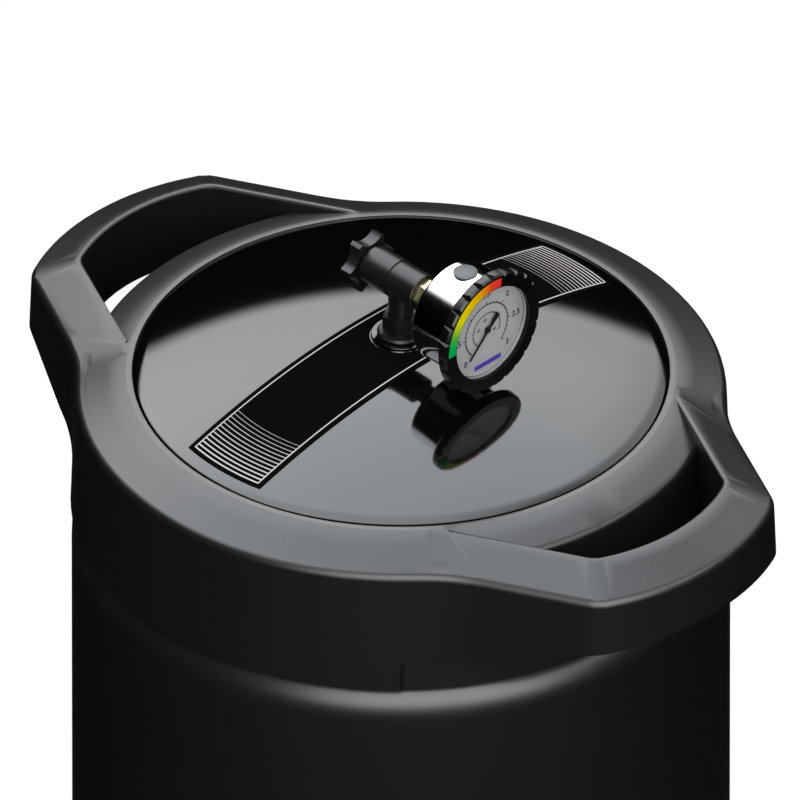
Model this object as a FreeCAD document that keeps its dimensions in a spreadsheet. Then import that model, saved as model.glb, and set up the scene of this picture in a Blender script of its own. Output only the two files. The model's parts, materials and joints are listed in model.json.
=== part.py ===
import FreeCAD, Part
import os
import re

import Sketcher

# Cartridge filter for pool water: a moulded tank on a bolted base, a pleated cartridge inside, and a
# domed lid held down by a lock ring with two looped handles. A gauge and an air bleed stand on the lid.
# Origin on the tank's axis at the floor, +Z up, +X towards the front handle, the ports along Y.

V = FreeCAD.Vector
doc = FreeCAD.newDocument("CartridgeFilter")

# Driving sizes in millimetres and degrees
SIZES = [
    ("lip_height", 700, "floor to the flat lip of the lock ring, which the top is measured from"),
    ("body_gap", 0.3, "clearance between pieces that move against each other"),
    ("shoulder_ledge", 1.5, "how far the tank's shoulder stands out past the ring's skirt"),
    ("tank_draft", 2, "how much wider the tank is above its bottom corner"),
    ("tank_wall", 6, "wall of the tank"),
    ("tank_floor", 30, "underside of the tank above the floor"),
    ("corner_radius", 60, "outside radius of the tank's bottom corner"),
    ("shoulder_drop", 87, "lip down to the shoulder of the tank"),
    ("shoulder_fillet", 16, "radius between shoulder and tank wall"),
    ("neck_radius", 160, "outside radius of the neck"),
    ("neck_wall", 8, "wall of the neck"),
    ("rim_drop", 16, "lip down to the rim of the neck"),
    ("lug_count", 4, "locking lugs round the neck and round the ring"),
    ("lug_lead", 48, "rise of the locking lugs in one turn"),
    ("lug_thickness", 5, "height of a lug's section"),
    ("lug_drop", 48, "lip down to the low end of a tank lug's under face"),
    ("tank_lug_span", 50, "angle that a tank lug covers"),
    ("tank_lug_reach", 6, "how far a tank lug stands out of the neck"),
    ("ring_lug_span", 40, "angle that a ring lug covers"),
    ("lug_side_gap", 0.5, "ring lug to neck"),
    ("port_height", 150, "floor to the axis of the outlet"),
    ("inlet_rise", 10, "how much higher the inlet's axis lies"),
    ("port_standout", 25, "tank's wall to the face of a port"),
    ("port_radius", 38, "outside radius of a port's threaded end"),
    ("port_bore", 24, "radius of the water way through a port"),
    ("port_inset", 9, "how far a port's boss stands into the tank"),
    ("diffuser_length", 44, "length of the basket over the inlet"),
    ("diffuser_wall", 3, "wall of that basket"),
    ("diffuser_spout", 18, "how far that basket reaches into its port"),
    ("diffuser_lip", 8, "how far its flange stands out past the port's water way"),
    ("drain_height", 112, "floor to the axis of the drain"),
    ("drain_standout", 17, "tank's wall to the face of the drain boss"),
    ("drain_boss", 20, "outside radius of the drain boss"),
    ("drain_shank", 12, "radius of the drain plug's shank"),
    ("drain_head_flats", 32, "across flats of the drain plug's head"),
    ("drain_head_length", 13, "height of the drain plug's head"),
    ("drain_ring_radius", 15.6, "radius to the middle of the drain O-ring"),
    ("drain_ring_section", 1.6, "radius of the drain O-ring's section"),
    ("foot_reach", 12, "tank's wall to the edge of the base's foot"),
    ("base_top", 70, "height of the base's skirt"),
    ("base_wall", 3.5, "wall of the base's skirt"),
    ("base_bore", 85, "radius of the hole in the base's shelf"),
    ("base_shelf", 8, "thickness of the base's shelf"),
    ("foot_thickness", 8, "thickness of the base's foot"),
    ("foot_bolt_reach", 6, "edge of the foot out to a bolt hole"),
    ("foot_bolt_hole", 5.5, "radius of a bolt hole in the foot"),
    ("foot_ear", 17, "radius of an ear round a bolt hole"),
    ("base_screw_inset", 15, "hole in the shelf to a screw under the tank"),
    ("base_screw_shank", 2.9, "radius of a base screw's shank"),
    ("base_screw_head", 6, "radius of a base screw's head"),
    ("base_screw_length", 19, "length of a base screw's shank"),
    ("manifold_step", 4, "port's water way to the outside of the outlet pipe"),
    ("manifold_wall", 4, "wall of the outlet pipe"),
    ("manifold_bend", 50, "radius of the outlet pipe's bend"),
    ("manifold_socket", 17, "depth of the outlet pipe in its port"),
    ("seat_rise", 11, "top of the outlet pipe's bend to the flange under the cartridge"),
    ("seat_radius", 66, "radius of that flange"),
    ("spigot_rise", 24, "height of the outlet pipe's spigot in the cartridge"),
    ("spigot_ring_section", 1.1, "radius of the section of the cartridge's seal"),
    ("cartridge_play", 27, "neck's bore to the cartridge's end caps"),
    ("cartridge_headroom", 44.7, "lip down to the top of the cartridge"),
    ("cap_thickness", 13, "thickness of a cartridge end cap"),
    ("pleat_count", 40, "pleats of the filter cloth"),
    ("cap_overhang", 4, "pleats in from the rim of an end cap"),
    ("cloth_band", 8, "core to where the pleats part"),
    ("pleat_tip", 3.2, "width of a pleat at its tip"),
    ("pleat_foot", 6.4, "width of a pleat at its root"),
    ("core_radius", 40, "outside radius of the slotted core"),
    ("core_wall", 4, "wall of the core"),
    ("core_slots", 8, "slots round the core"),
    ("air_tube_radius", 6, "outside radius of the air relief tube"),
    ("air_tube_wall", 1.6, "wall of the air relief tube"),
    ("lid_gap", 0.6, "seam between lid and lip"),
    ("lip_cover", 15, "how far the ring's lip reaches in over the neck"),
    ("dome_radius", 470, "radius of the dome's sphere"),
    ("dome_rise", 23, "top of the dome above the lip"),
    ("lid_wall", 6, "thickness of the lid"),
    ("flange_drop", 4.5, "lip down to the inner edge of the lid's flange"),
    ("flange_inset", 3, "outside of the neck in to the rim of the lid's flange"),
    ("cone_angle", 21, "slope of the ring's top and of the lid's flange"),
    ("spigot_depth", 16, "how far the lid's spigot reaches into the neck"),
    ("seal_section", 2.5, "radius of the section of the lid's O-ring"),
    ("boss_radius", 16, "radius of the boss in the middle of the lid"),
    ("boss_step", 2, "top of that boss above the dome"),
    ("stem_hole", 9.2, "radius of the hole for the gauge tee"),
    ("lip_flat", 4, "width of the flat lip round the lid"),
    ("loop_lip", 2.5, "width of the flat lip round a handle loop"),
    ("ring_wall", 4, "wall of the ring outside its bore"),
    ("band_round", 5, "rounding of that edge"),
    ("edge_drop", 11.6, "lip down to the ring's outer top edge"),
    ("rim_inset", 1, "outside of the skirt in to the ring's outer top edge"),
    ("shoulder_gap", 3, "tank's shoulder up to the bottom of the ring"),
    ("skirt_out", 9.5, "ring's bore to the outside of its inner skirt"),
    ("skirt_wall", 4, "wall of the skirt"),
    ("skin_draft", 3, "how much wider the outer skin is at the bottom"),
    ("lug_end_gap", 1, "end of a tank lug to the ring's bore"),
    ("bore_below_lug", 8, "foot of the lugs down to the end of the ring's bore"),
    ("handle_reach", 235, "tank axis to the outer edge of a handle"),
    ("handle_end_radius", 135, "radius of the handle's long end curve"),
    ("handle_corner", 22, "radius of the handle's corners"),
    ("flank_angle", 63.4, "direction in which a handle's flank faces"),
    ("flank_inset", 18, "ring's outer top edge in to the line of a handle's flank"),
    ("flank_blend", 110, "radius of the blend between flank and rim"),
    ("handle_width", 27.3, "width of the bar over the top at the handle's end"),
    ("flank_width", 25.8, "width of the bar over the top at the flank"),
    ("loop_corner", 12, "radius of a loop's corners"),
    ("loop_blend", 32, "radius of a loop's blend into the lip"),
    ("handle_lift", 23, "that underside up to the underside of the handle's end"),
    ("flank_lift", 16, "bottom of the ring up to the underside of a handle's flank"),
    ("raised_inset", 50, "ring's outer top edge in to where the raised underside starts"),
    ("slope_run", 46, "length over which that underside rises"),
    ("slope_inset", 23, "handle's outer edge in to where its underside has risen"),
    ("flank_rise", 8, "rise of the underside before that"),
    ("end_slope", 0.15, "rise of the underside for each millimetre beyond it"),
    ("cell_wall", 4, "wall round the hollows under a handle"),
    ("cell_top", 17, "lip down to the top of the hollows under a handle"),
    ("cell_angle", 9.8, "angle that one hollow under a handle covers"),
    ("cell_step", 11.4, "angle from one hollow to the next"),
    ("stem_length", 31.8, "washer up to the gauge's axis"),
    ("washer_height", 2.5, "thickness of the washer under the tee"),
    ("washer_radius", 13, "radius of the washer under the tee"),
    ("stem_radius", 7, "radius of the tee's upright stem"),
    ("stem_thread", 8.9, "radius of the tee's thread through the lid"),
    ("stem_flats", 18, "across flats of the tee's hexagon"),
    ("stem_hex_height", 8, "height of the tee's hexagon"),
    ("stem_nut_flats", 27, "across flats of the nut under the lid"),
    ("stem_nut_height", 9, "height of the nut under the lid"),
    ("barrel_radius", 11, "radius of the tee's bleed end"),
    ("barrel_neck", 10.3, "radius of the tee's gauge end"),
    ("barrel_back", 21.7, "tank axis to the tee's bleed end"),
    ("barrel_step", 2, "tank axis to the step on the tee"),
    ("barrel_front", 17, "tank axis to the tee's gauge end"),
    ("cup_radius", 9.3, "radius of the recess round the brass hexagon"),
    ("cup_depth", 3, "depth of that recess in the tee's gauge end"),
    ("spindle_radius", 4.8, "radius of the bleed spindle"),
    ("spindle_gap", 0.1, "clearance round the bleed spindle"),
    ("spindle_length", 17.5, "length of the bleed spindle in the tee"),
    ("bleed_seal_section", 0.65, "radius of the section of the bleed seal"),
    ("bleed_seal_place", 8, "tee's end to the bleed seal"),
    ("knob_radius", 16.8, "radius over the bleed knob's points"),
    ("knob_length", 7.2, "thickness of the bleed knob"),
    ("knob_hollow", 10.2, "radius of the hollows between the knob's points"),
    ("knob_point_angle", 9, "angle that one of the knob's points covers"),
    ("socket_flats", 14, "across flats of the gauge's brass socket"),
    ("socket_reach", 15, "tee's gauge end to the front of the brass hexagon"),
    ("socket_thread", 6.3, "radius of the brass socket's threads"),
    ("socket_depth", 10, "depth of the brass socket in the tee"),
    ("case_gap", 4, "brass hexagon to the back of the gauge case"),
    ("case_radius", 29.2, "outside radius of the gauge case"),
    ("case_wall", 1.2, "wall of the gauge case"),
    ("case_round", 3, "rounding of the gauge case's back edge"),
    ("case_depth", 30.3, "depth of the gauge case"),
    ("vent_inset", 12.7, "back of the case to the vent plug"),
    ("vent_radius", 6.6, "radius of the vent plug's head"),
    ("vent_head", 1, "thickness of that head"),
    ("dial_inset", 2.6, "back of the lens in to the face of the dial"),
    ("dial_thickness", 1, "thickness of the dial"),
    ("seal_thickness", 0.5, "thickness of the seal under the lens"),
    ("lens_thickness", 1.8, "thickness of the lens"),
    ("bezel_grip", 3, "how far the bezel reaches back over the case"),
    ("bezel_rise", 1.2, "front of the lens to the front of the bezel"),
    ("bezel_wall", 6.8, "case to the outside of the bezel"),
    ("bezel_opening", 27.6, "radius of the bezel's opening over the lens"),
    ("bezel_notches", 24, "grip notches round the bezel"),
    ("notch_depth", 2.5, "depth of a grip notch"),
    ("band_start", 79, "angle on the dial where the red end of the band is"),
    ("band_end", 180, "angle on the dial where the green end of the band is"),
    ("band_inset", 0.8, "bezel's opening to the inner edge of the colour band"),
    ("needle_length", 19.6, "length of the needle to its tip"),
    ("needle_tail", 11, "length of the needle's tail"),
    ("needle_width", 3, "width of the needle's tail"),
    ("needle_zero", 225, "angle on the dial where the scale starts"),
    ("shaft_radius", 1, "radius of the needle's shaft"),
    ("bourdon_radius", 17, "radius of the bent gauge tube"),
    ("bourdon_section", 2.6, "radius of the gauge tube's section"),
    ("label_half", 27, "half the width of the band on the lid"),
    ("label_end", 137, "radius of the band's ends"),
    ("label_thickness", 0.4, "thickness of the band on the lid"),
    ("label_gap", 0.08, "film of glue under the band on the lid"),
    ("flange_play", 1.5, "outside of a port in to the rim of a union tail's flange"),
    ("tail_flange_length", 7, "thickness of a union tail's flange"),
    ("tail_wall", 5.35, "wall of a union tail round its pipe socket"),
    ("tail_length", 52, "length of a union tail"),
    ("pipe_socket", 25.15, "radius of the socket for a 50 mm pipe"),
    ("pipe_socket_depth", 31, "depth of that socket"),
    ("union_ring_section", 1.7, "radius of the section of a union's O-ring"),
    ("nut_wall", 8, "wall of a union nut round its port"),
    ("nut_clear", 5, "free space between a union nut and the tank"),
    ("nut_lip", 5, "thickness of a union nut's end"),
    ("nut_ribs", 10, "grip ribs round a union nut"),
    ("nut_rib_height", 2.5, "height of a grip rib"),
    ("nut_rib_width", 6, "width of a grip rib"),
]

sheet = doc.addObject("Spreadsheet::Sheet", "Sizes")
for row, (alias, value, meaning) in enumerate(SIZES, start=1):
    sheet.set(f"A{row}", alias)
    sheet.set(f"B{row}", str(value))
    sheet.set(f"C{row}", meaning)
    sheet.setAlias(f"B{row}", alias)
doc.recompute()
NAMES = {alias for alias, value, meaning in SIZES}

# Sizes that follow from those, because their piece fits in, seats on or lines up with another
FITTED = {
    "lip_bore": "neck_radius - lip_cover",  # radius of the hole in the lock ring
    "lid_radius": "lip_bore - lid_gap",  # radius of the lid's dome at the ring's lip
    "flange_radius": "neck_radius - flange_inset",  # outside radius of the lid's flange
    "ring_bore": "neck_radius + tank_lug_reach + lug_end_gap",  # radius inside the ring above the skirt
    "ring_bore_depth": "lug_drop + bore_below_lug",  # lip down to the end of that bore
    "band_radius": "ring_bore + ring_wall",  # radius where the inner band turns down into a loop
    "skirt_radius": "ring_bore + skirt_out",  # outside radius of the inner skirt at the bottom
    "skirt_depth": "shoulder_drop - shoulder_gap",  # lip down to the bottom of the ring
    "rim_radius": "skirt_radius - rim_inset",  # radius of the ring's outer top edge between the handles
    "tank_radius": "skirt_radius + shoulder_ledge",  # outside radius of the tank under the shoulder
    "tank_base_radius": "tank_radius + tank_draft",  # outside radius of the tank above its bottom corner
    "port_reach": "tank_base_radius + port_standout",  # tank axis to the face of a port
    "drain_reach": "tank_base_radius + drain_standout",  # tank axis to the face of the drain boss
    "base_radius": "tank_base_radius + foot_reach",  # radius of the base's foot
    # diameter of the circle through the foot's bolt holes
    "foot_bolt_circle": "2 * (base_radius + foot_bolt_reach)",
    "base_screw_circle": "base_bore + base_screw_inset",  # radius of the circle of screws under the tank
    "manifold_radius": "port_bore + manifold_step",  # outside radius of the outlet pipe inside the tank
    # floor to the flange that the cartridge stands on
    "seat_height": "port_height + manifold_bend + seat_rise",
    # outside radius of the cartridge's end caps
    "cartridge_radius": "neck_radius - neck_wall - cartridge_play",
    # length of the cartridge over its end caps
    "cartridge_length": "lip_height - cartridge_headroom - seat_height - body_gap",
    "pleat_radius": "cartridge_radius - cap_overhang",  # outside radius of the pleats
    "pleat_root": "core_radius + cloth_band",  # inside radius where the pleats part
    "boss_rise": "dome_rise + boss_step",  # top of that boss above the lip
    "flank_distance": "rim_radius - flank_inset",  # tank axis to the line of a handle's flank
    "flank_from": "rim_radius - raised_inset",  # distance along X where the raised edge starts
    "flank_bottom": "skirt_depth - flank_lift",  # lip down to the underside of a handle's flank
    "handle_bottom": "flank_bottom - handle_lift",  # lip down to the underside of a handle's end
    "slope_to": "handle_reach - slope_inset",  # distance along X where the edge has risen
    "slope_from": "slope_to - slope_run",  # distance along X where the edge starts to rise
    "gauge_height": "boss_rise + washer_height + stem_length",  # lip up to the gauge's axis
    "socket_seat": "barrel_front - socket_depth",  # tank axis to the back end of the brass socket
    "socket_front": "barrel_front + socket_reach",  # tank axis to the front of the brass hexagon
    "case_back": "socket_front + case_gap",  # tank axis to the back of the gauge case
    "case_front": "case_back + case_depth",  # tank axis to the front edge of the gauge case
    "vent_place": "case_back + vent_inset",  # tank axis to the vent plug
    "lens_back": "case_front + seal_thickness",  # tank axis to the back of the lens
    "dial_front": "lens_back - dial_inset",  # tank axis to the face of the dial
    "bezel_back": "case_front - bezel_grip",  # tank axis to the back of the bezel
    "bezel_front": "lens_back + lens_thickness + bezel_rise",  # tank axis to the front of the bezel
    "bezel_radius": "case_radius + bezel_wall",  # outside radius of the bezel
    "band_inner": "bezel_opening + band_inset",  # inner radius of the colour band
    "band_outer": "bezel_radius - notch_depth",  # outer radius of the colour band
    "tail_flange": "port_radius - flange_play",  # radius of a union tail's flange
    "tail_radius": "pipe_socket + tail_wall",  # outside radius of a union tail
    "union_ring_radius": "(port_bore + port_radius) / 2",  # radius to the middle of a union's O-ring
    "nut_radius": "port_radius + nut_wall",  # outside radius of a union nut
    "nut_skirt": "port_standout - nut_clear",  # how far a union nut reaches back over its port
}

# Heights and radii that several pieces share, written in terms of the sheet
shoulder_top = "(lip_height - shoulder_drop)"
rim_top = "(lip_height - rim_drop)"
neck_bore = "(neck_radius - neck_wall)"
inlet_line = "(port_height + inlet_rise)"
port_inside = "(tank_base_radius - tank_wall - port_inset)"
cartridge_top = "(seat_height + body_gap + cartridge_length)"
dome_underside = "(dome_radius - lid_wall)"
gauge_line = "(lip_height + gauge_height)"
stem_foot = "(boss_rise + washer_height - gauge_height)"
lug_start = "(lip_height - lug_drop)"

PIECES = []
CUTS = []


def sized(text):
    """The expression with every name led back to the sheet."""
    def written_out(word):
        if word[0] in FITTED:
            return f"({sized(FITTED[word[0]])})"
        return ("Sizes." if word[0] in NAMES else "") + word[0]
    return re.sub(r"[a-z_]+", written_out, text)


def number(text):
    """What an expression comes to now, for the first placing of a sketch's lines."""
    found = sheet.evalExpression(sized(text))
    return float(getattr(found, "Value", found))


def piece(name, x="0", y="0", z="0", turned=0):
    """A new body at a place given by the sheet, turned about the upright axis."""
    body = doc.addObject("PartDesign::Body", name)
    body.Label = name
    body.Placement = FreeCAD.Placement(V(0, 0, 0), FreeCAD.Rotation(V(0, 0, 1), turned))
    for axis, text in zip("xyz", (x, y, z)):
        body.setExpression("Placement.Base." + axis, sized(text))
    PIECES.append(body)
    return body


def origin_part(body, role):
    return next(part for part in body.Origin.OriginFeatures if part.Role == role)


def arc_between(start, end, radius):
    """The short arc from start to end, to the left of the way for a positive radius."""
    half = (end - start) * 0.5
    side = V(-half.y, half.x, 0).normalize()
    reach = max(radius * radius - half.dot(half), 0) ** 0.5
    centre = start + half + side * (reach if radius > 0 else -reach)
    first, last = (start, end) if radius > 0 else (end, start)
    circle = Part.Circle(centre, V(0, 0, 1), abs(radius))
    return Part.ArcOfCircle(circle, circle.parameter(first), circle.parameter(last))


def tie(sketch, kind, *parts):
    """One constraint, whose last part is the expression that sets its value."""
    index = sketch.addConstraint(Sketcher.Constraint(kind, *parts[:-1], number(parts[-1])))
    sketch.setExpression(f"Constraints[{index}]", sized(parts[-1]))


def add_circle(sketch, x, y, radius):
    circle = Part.Circle(V(number(x), number(y), 0), V(0, 0, 1), number(radius))
    index = sketch.addGeometry(circle)
    tie(sketch, "DistanceX", -1, 1, index, 3, x)
    tie(sketch, "DistanceY", -1, 1, index, 3, y)
    tie(sketch, "Radius", index, radius)


def add_loop(sketch, corners):
    """A closed outline. A corner's third part is the radius of the arc that leaves it."""
    points = [V(number(corner[0]), number(corner[1]), 0) for corner in corners]
    edges = []
    for corner, start, end in zip(corners, points, points[1:] + points[:1]):
        if len(corner) == 2:
            edges.append((sketch.addGeometry(Part.LineSegment(start, end)), 1, 2))
            continue
        radius = number(corner[2])
        index = sketch.addGeometry(arc_between(start, end, radius))
        edges.append((index, 1, 2) if radius > 0 else (index, 2, 1))
        tie(sketch, "Radius", index, f"abs({corner[2]})")
    for edge, following in zip(edges, edges[1:] + edges[:1]):
        sketch.addConstraint(Sketcher.Constraint("Coincident", edge[0], edge[2], following[0], following[1]))
    for corner, edge in zip(corners, edges):
        tie(sketch, "DistanceX", -1, 1, edge[0], edge[1], corner[0])
        tie(sketch, "DistanceY", -1, 1, edge[0], edge[1], corner[1])


def draw(body, name, plane, *loops, shift=("0", "0", "0"), spin=None):
    """A sketch on one of the body's own planes, shifted and spun in the sketch's frame."""
    sketch = body.newObject("Sketcher::SketchObject", f"{body.Label}_{name}")
    sketch.AttachmentSupport = [(origin_part(body, plane), "")]
    sketch.MapMode = "FlatFace"
    if spin:
        sketch.AttachmentOffset = FreeCAD.Placement(V(0, 0, 0), FreeCAD.Rotation(spin[0], number(spin[1])))
        sketch.setExpression("AttachmentOffset.Rotation.Angle", sized(spin[1]))
    for axis, text in zip("xyz", shift):
        if text != "0":
            sketch.setExpression("AttachmentOffset.Base." + axis, sized(text))
    for loop in loops:
        if loop[0] == "circle":
            add_circle(sketch, *loop[1:])
        else:
            add_loop(sketch, loop)
    return sketch


def box_loop(left, low, right, high):
    return [(left, low), (right, low), (right, high), (left, high)]


def turn(body, sketch, axis="V_Axis", cut=False, angle=360):
    """The sketch turned about its own axis, added to the body or cut from it."""
    kind = "Groove" if cut else "Revolution"
    feature = body.newObject("PartDesign::" + kind, sketch.Name + "_turned")
    feature.Profile = sketch
    feature.ReferenceAxis = (sketch, [axis])
    feature.Angle = angle
    if cut:
        CUTS.append(feature)
    return feature


def raise_up(body, sketch, length, cut=False, back=False, both=False):
    """The sketch pushed out along its normal, or into the body for a cut."""
    kind = "Pocket" if cut else "Pad"
    feature = body.newObject("PartDesign::" + kind, sketch.Name + "_pushed")
    feature.Profile = sketch
    feature.setExpression("Length", sized(length))
    feature.Reversed = back
    if both:
        feature.SideType = "Symmetric"
    if cut:
        CUTS.append(feature)
    return feature


def around(body, feature, count, axis="Z_Axis"):
    """Copies of a feature spread evenly round one of the body's axes."""
    pattern = body.newObject("PartDesign::PolarPattern", feature.Name + "_around")
    pattern.Originals = [feature]
    pattern.Axis = (origin_part(body, axis), [""])
    pattern.Angle = 360
    pattern.setExpression("Occurrences", sized(count))
    body.Tip = pattern
    return pattern


def helical_lug(body, inner, outer, low, span, start_angle):
    """One locking lug: a square section that climbs round the upright axis."""
    corners = box_loop(inner, low, outer, f"{low} + lug_thickness")
    sketch = draw(body, "LugSection", "XZ_Plane", corners, spin=(V(0, 1, 0), start_angle))
    lug = body.newObject("PartDesign::AdditiveHelix", body.Label + "_Lug")
    lug.Profile = sketch
    lug.ReferenceAxis = (sketch, ["V_Axis"])
    lug.Mode = "pitch-height-angle"
    lug.setExpression("Pitch", sized("lug_lead"))
    lug.setExpression("Height", sized(f"lug_lead * {span} / 360"))
    return around(body, lug, "lug_count")


def hexagon(flats):
    """The corners of a hexagon, given across its flats."""
    radius = f"({flats} / sqrt(3))"
    return [(f"{radius} * cos({60 * n})", f"{radius} * sin({60 * n})") for n in range(6)]


def o_ring(body, radius, section, place="0", plane="XZ_Plane", axis="V_Axis"):
    """A round ring: its section drawn beside the axis and turned about it."""
    spot = (radius, place) if axis == "V_Axis" else (place, radius)
    turn(body, draw(body, "Section", plane, ("circle", *spot, section)), axis)


# Tank: shell with shoulder and neck, port and drain bosses, screw bosses and locking lugs
def make_tank():
    body = piece("tank_body")
    turn(body, draw(body, "Shell", "XZ_Plane", [
        ("0", "tank_floor"),
        ("tank_base_radius - corner_radius", "tank_floor", "corner_radius"),
        ("tank_base_radius", "tank_floor + corner_radius"),
        ("tank_radius", f"{shoulder_top} - shoulder_fillet", "shoulder_fillet"),
        ("tank_radius - shoulder_fillet", shoulder_top),
        ("neck_radius", shoulder_top),
        ("neck_radius", rim_top),
        (neck_bore, rim_top),
        (neck_bore, f"{shoulder_top} - tank_wall"),
        ("tank_radius - shoulder_fillet", f"{shoulder_top} - tank_wall", "-(shoulder_fillet - tank_wall)"),
        ("tank_radius - tank_wall", f"{shoulder_top} - shoulder_fillet"),
        ("tank_base_radius - tank_wall", "tank_floor + corner_radius", "-(corner_radius - tank_wall)"),
        ("tank_base_radius - corner_radius", "tank_floor + tank_wall"),
        ("0", "tank_floor + tank_wall"),
    ]))
    inlet = box_loop(port_inside, "0", "port_reach", "port_radius")
    turn(body, draw(body, "Inlet", "YZ_Plane", inlet, shift=("0", inlet_line, "0")), "H_Axis")
    outlet = box_loop("-port_reach", "0", f"-{port_inside}", "port_radius")
    turn(body, draw(body, "Outlet", "YZ_Plane", outlet, shift=("0", "port_height", "0")), "H_Axis")
    drain = box_loop(port_inside, "0", "drain_reach", "drain_boss")
    turn(body, draw(body, "Drain", "XZ_Plane", drain, shift=("0", "drain_height", "0")), "H_Axis")
    screw_boss = draw(body, "ScrewBoss", "XY_Plane",
                      ("circle", "base_screw_circle", "0", "base_screw_shank + tank_wall"),
                      shift=("0", "0", "tank_floor + tank_wall / 2"))
    around(body, raise_up(body, screw_boss, "base_screw_length - tank_wall / 2"), "4")
    screw_hole = draw(body, "ScrewHole", "XY_Plane",
                      ("circle", "base_screw_circle", "0", "base_screw_shank + body_gap"),
                      shift=("0", "0", "tank_floor - 1"))
    depth = "base_screw_length - base_shelf + 3"
    around(body, raise_up(body, screw_hole, depth, cut=True, back=True), "4")
    inlet_bore = box_loop(f"{port_inside} - 1", "0", "port_reach + 1", "port_bore")
    turn(body, draw(body, "InletBore", "YZ_Plane", inlet_bore, shift=("0", inlet_line, "0")),
         "H_Axis", cut=True)
    outlet_bore = [("-port_reach - 1", "0"), (f"-{port_inside} + 1", "0"),
                   (f"-{port_inside} + 1", "manifold_radius + body_gap"),
                   (f"-{port_inside} - manifold_socket", "manifold_radius + body_gap"),
                   (f"-{port_inside} - manifold_socket", "port_bore"), ("-port_reach - 1", "port_bore")]
    turn(body, draw(body, "OutletBore", "YZ_Plane", outlet_bore, shift=("0", "port_height", "0")),
         "H_Axis", cut=True)
    drain_bore = box_loop(f"{port_inside} - 1", "0", "drain_reach + 1", "drain_shank + body_gap")
    turn(body, draw(body, "DrainBore", "XZ_Plane", drain_bore, shift=("0", "drain_height", "0")),
         "H_Axis", cut=True)
    helical_lug(body, "neck_radius - neck_wall / 2", "neck_radius + tank_lug_reach", lug_start,
                "tank_lug_span", "-(tank_lug_span - ring_lug_span) / 2")


# Base: a skirt round the foot of the tank, the shelf that it stands on and four bolted ears
def make_base():
    body = piece("base_stand")
    inside = "(tank_base_radius + 1)"
    turn(body, draw(body, "Section", "XZ_Plane", [
        ("base_bore", "tank_floor - base_shelf"),
        (f"{inside} - 5", "tank_floor - base_shelf"),
        (f"{inside} - 5", "0"),
        ("base_radius", "0"),
        ("base_radius", "foot_thickness"),
        (f"{inside} + base_wall + 2", "foot_thickness + 6"),
        (f"{inside} + base_wall", "base_top"),
        (inside, "base_top"),
        (inside, "tank_floor"),
        ("base_bore", "tank_floor"),
    ]))
    corner = "foot_bolt_circle / 2 * cos(45)"
    ear = draw(body, "Ear", "XY_Plane", ("circle", corner, corner, "foot_ear"))
    around(body, raise_up(body, ear, "foot_thickness"), "4")
    hole = draw(body, "EarHole", "XY_Plane", ("circle", corner, corner, "foot_bolt_hole"),
                shift=("0", "0", "-1"))
    around(body, raise_up(body, hole, "foot_thickness + 2", cut=True, back=True), "4")
    screw = draw(body, "ScrewHole", "XY_Plane",
                 ("circle", "base_screw_circle", "0", "base_screw_shank + body_gap"),
                 shift=("0", "0", "tank_floor - base_shelf - 1"))
    around(body, raise_up(body, screw, "base_shelf + 2", cut=True, back=True), "4")


def make_base_screws():
    """Four screws, drawn once beside the axis and spread round it."""
    body = piece("base_screws", z="tank_floor - base_shelf")
    body.AllowCompound = True
    section = draw(body, "Head", "XY_Plane", ("circle", "base_screw_circle", "0", "base_screw_head"),
                   shift=("0", "0", "-4"))
    head = raise_up(body, section, "4")
    shank_section = draw(body, "Shank", "XY_Plane", ("circle", "base_screw_circle", "0", "base_screw_shank"),
                         shift=("0", "0", "-1"))
    shank = raise_up(body, shank_section, "base_screw_length + 1")
    pattern = around(body, head, "4")
    pattern.Originals = [head, shank]


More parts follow.
